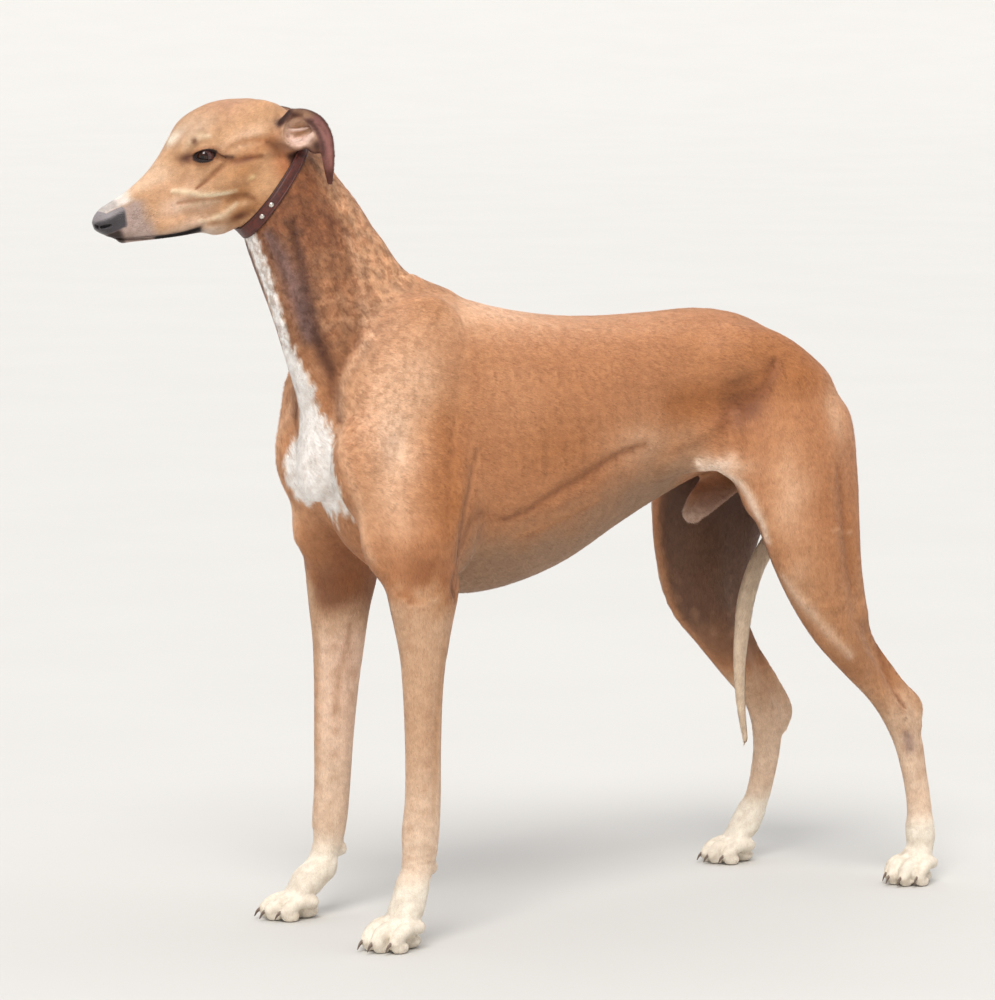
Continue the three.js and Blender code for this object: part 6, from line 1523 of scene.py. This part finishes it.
def makeTufts():
    rng = np.random.default_rng(coat["seed"])
    corner = allPoints[allFaces]
    area = np.linalg.norm(np.cross(corner[:, 1] - corner[:, 0], corner[:, 2] - corner[:, 0]), axis=1) / 2
    middle = corner.mean(1)
    size = tuftSizes(middle, allWeight[allFaces].mean(1), allNormals[allFaces[:, 0]])
    local = inHead(middle)
    eyeNear = np.min([np.linalg.norm(local - eyeSpot[s], axis=1) for s in (-1, 1)], 0)
    inStrap = move(np.linalg.inv(collarFrame), middle)[:, 0]
    hidden = (inStrap > coat["strap"][0]) & (inStrap < coat["strap"][1])
    hidden = hidden & (np.linalg.norm(middle - collarFrame[:3, 3], axis=1) < coat["strapReach"])
    keep = (bare[allFaces].max(1) < coat["barest"]) & (eyeNear > coat["eyeClear"]) & ~hidden
    keep = keep & (middle[:, 2] > coat["soleClear"])
    count = rng.poisson(coat["cover"] * area * keep / (size[:, 0] * size[:, 1] / 2))
    face = np.repeat(np.arange(len(allFaces)), count)
    u, v = rng.random((2, len(face)))
    over = u + v > 1
    u, v = np.where(over, 1 - u, u), np.where(over, 1 - v, v)
    share, trio = np.stack([1 - u - v, u, v], 1), allFaces[face]
    mixed = lambda values: np.einsum("nk,nkc->nc", share, values[trio])
    root, normal, weight = mixed(allPoints), mixed(allNormals), mixed(allWeight)
    normal /= np.linalg.norm(normal, axis=1)[:, None]
    lie = lieAt(root, normal, weight)
    side = np.cross(normal, lie)
    swing = 0.22 * wander(root, 30) + 0.1 * wander(root, 9, 2) + rng.normal(0, 0.09, len(root))
    lie, side = (lie * np.cos(swing)[:, None] + side * np.sin(swing)[:, None],
                 side * np.cos(swing)[:, None] - lie * np.sin(swing)[:, None])
    ruffle = ruffled(root, normal, weight)
    length = size[face, 0] * rng.uniform(0.7, 1.2, len(root))
    width = size[face, 1] * rng.uniform(0.75, 1.25, len(root))
    lift = length * rng.uniform(0.04, 0.085, len(root)) * (1 + 1.1 * ruffle)
    foot = root - normal * coat["rootDepth"]
    tip = root + lie * length[:, None] + normal * (coat["rootDepth"] + lift)[:, None]
    tufts = np.stack([foot + side * (width / 2)[:, None], foot - side * (width / 2)[:, None], tip], 1)
    # each tuft a little lighter or darker, with grey and dark ones among the grizzled hair of the muzzle
    headPlace = inHead(root)
    headPlace[:, 1] = np.abs(headPlace[:, 1])
    grizzle = nearSpot(headPlace, (204, 20, -8), (15, 12, 13)) * weight[:, 2]
    odd = rng.random(len(root))
    vary = rng.normal(1, 0.035, len(root)) + 0.035 * wander(root, 5, 1)
    vary = vary * np.where(odd < 0.035, 0.82, 1) * np.where(odd > 0.975, 1.1, 1)
    vary = vary * np.where((odd < 0.3) & (grizzle > 0.3), 0.6, 1)
    base = mixed(tone) * vary[:, None]
    tuftTone = np.stack([base * 0.93, base * 0.93, base * 1.05], 1)
    plan, grain = unwrapped(root, weight), grainAt(root, weight)
    mottled = mixed(mottle[:, None])
    order = rng.permutation(len(root))
    pieces = int(math.ceil(len(order) / coat["most"]))
    for i in range(pieces):
        mine = np.sort(order[i::pieces])
        spread = (tufts[mine] - root[mine][:, None]) / 1000
        piece = meshOf("coat_tufts_" + str(i + 1), tufts[mine].reshape(-1, 3),
                       np.arange(3 * len(mine)).reshape(-1, 3), tuftFinish,
                       coatTone=toShader(tuftTone[mine].reshape(-1, 3)),
                       grain=(grain[mine][:, None] + spread).reshape(-1, 3), bare=np.zeros(3 * len(mine)),
                       mottle=np.repeat(mottled[mine, 0], 3))
        # the hair is shaded like the skin that it lies on
        leaning = normal[mine][:, None] * np.ones((1, 3, 1)) - 0.12 * lie[mine][:, None]
        piece.data.normals_split_custom_set_from_vertices(leaning.reshape(-1, 3).astype(np.float32))
        reach = coat["patch"]
        patch = plan[mine][:, None] + np.array([(-reach, 0), (0, reach), (reach, 0)])
        layer = piece.data.uv_layers.new(name="OFBake")
        layer.data.foreach_set("uv", patch.astype(np.float32).ravel())
    print("coat:", len(root), "tufts in", pieces, "pieces")


makeTufts()


# Floor, lights and camera
def pale(name, colour, scale):
    finish = Finish(name, Specular_IOR_Level=0.2)
    place = finish.place()
    shade = finish.mix(finish.span(finish.noise(place, scale, 3, 0.5), 0.3, 0.7), linear(*colour),
                       linear(*(c - 1.5 for c in colour)))
    return finish.feed(Base_Color=shade, Roughness=0.75 + 0.1 * finish.noise(place, scale * 4, 2, 0.5))


def sweep(name, finish):   # a round floor that rises softly to a low wall far behind, on every side
    spokes = 128
    turn = np.arange(spokes) * 2 * np.pi / spokes
    profile = [(0.4, 0), (3, 0), (9, 0), (18, 0), (24, 0.15), (30, 1.0), (35, 2.8), (39, 5.6), (42, 9.5),
               (44, 14)]
    rings = np.array([(radius * math.cos(t), radius * math.sin(t), height)
                      for radius, height in profile for t in turn])
    mesh = bpy.data.meshes.new(name)
    mesh.from_pydata(rings.tolist(), [], ringQuads(len(profile), spokes).tolist() + [tuple(range(spokes))])
    mesh.materials.append(finish)
    for face in mesh.polygons:
        face.use_smooth = True
    piece = bpy.data.objects.new(name, mesh)
    bpy.context.scene.collection.objects.link(piece)


sweep("studio_floor", pale("pale studio floor", (206, 204, 200), 2.0))


def softSun(name, place, strength, soft, colour=(1, 1, 1)):   # shines from the place towards the middle
    light = bpy.data.lights.new(name, "SUN")
    light.energy, light.angle, light.color = strength, math.radians(soft), colour
    lamp = bpy.data.objects.new(name, light)
    lamp.rotation_euler = (-Vector(place)).to_track_quat("-Z", "Y").to_euler()
    bpy.context.scene.collection.objects.link(lamp)


softSun("key above the shoulder", (-0.42, -0.46, 0.78), 2.3, 28, (1.0, 0.98, 0.95))
softSun("broad top light", (0.15, 0.2, 1.0), 1.4, 80, (1.0, 1.0, 1.0))
softSun("fill from the tail", (0.8, -0.5, 0.5), 0.35, 60, (0.97, 0.98, 1.0))

world = bpy.data.worlds.new("soft studio air")
world.use_nodes = True
world.node_tree.nodes["Background"].inputs["Color"].default_value = (0.93, 0.95, 1.0, 1)
world.node_tree.nodes["Background"].inputs["Strength"].default_value = 0.42
bpy.context.scene.world = world
bpy.context.scene.view_settings.view_transform = "Standard"

view = {"place": (-2.943, -4.762, 1.12), "turn": 33.5, "down": math.atan(558 / 5000), "lens": 180}
turn, down = math.radians(view["turn"]), view["down"]
ahead = np.array((math.sin(turn) * math.cos(down), math.cos(turn) * math.cos(down), -math.sin(down)))
rightward = np.array((math.cos(turn), -math.sin(turn), 0))
upward = np.cross(rightward, ahead)
camera = bpy.data.cameras.new("camera")
camera.lens, camera.sensor_width, camera.clip_end = view["lens"], 36, 400
holder = bpy.data.objects.new("camera", camera)
pose = np.eye(4)
pose[:3, 0], pose[:3, 1], pose[:3, 2] = rightward, upward, -ahead
pose[:3, 3] = np.array(view["place"]) + modelShift
holder.matrix_world = Matrix(pose)
bpy.context.scene.collection.objects.link(holder)
bpy.context.scene.camera = holder

print("done")
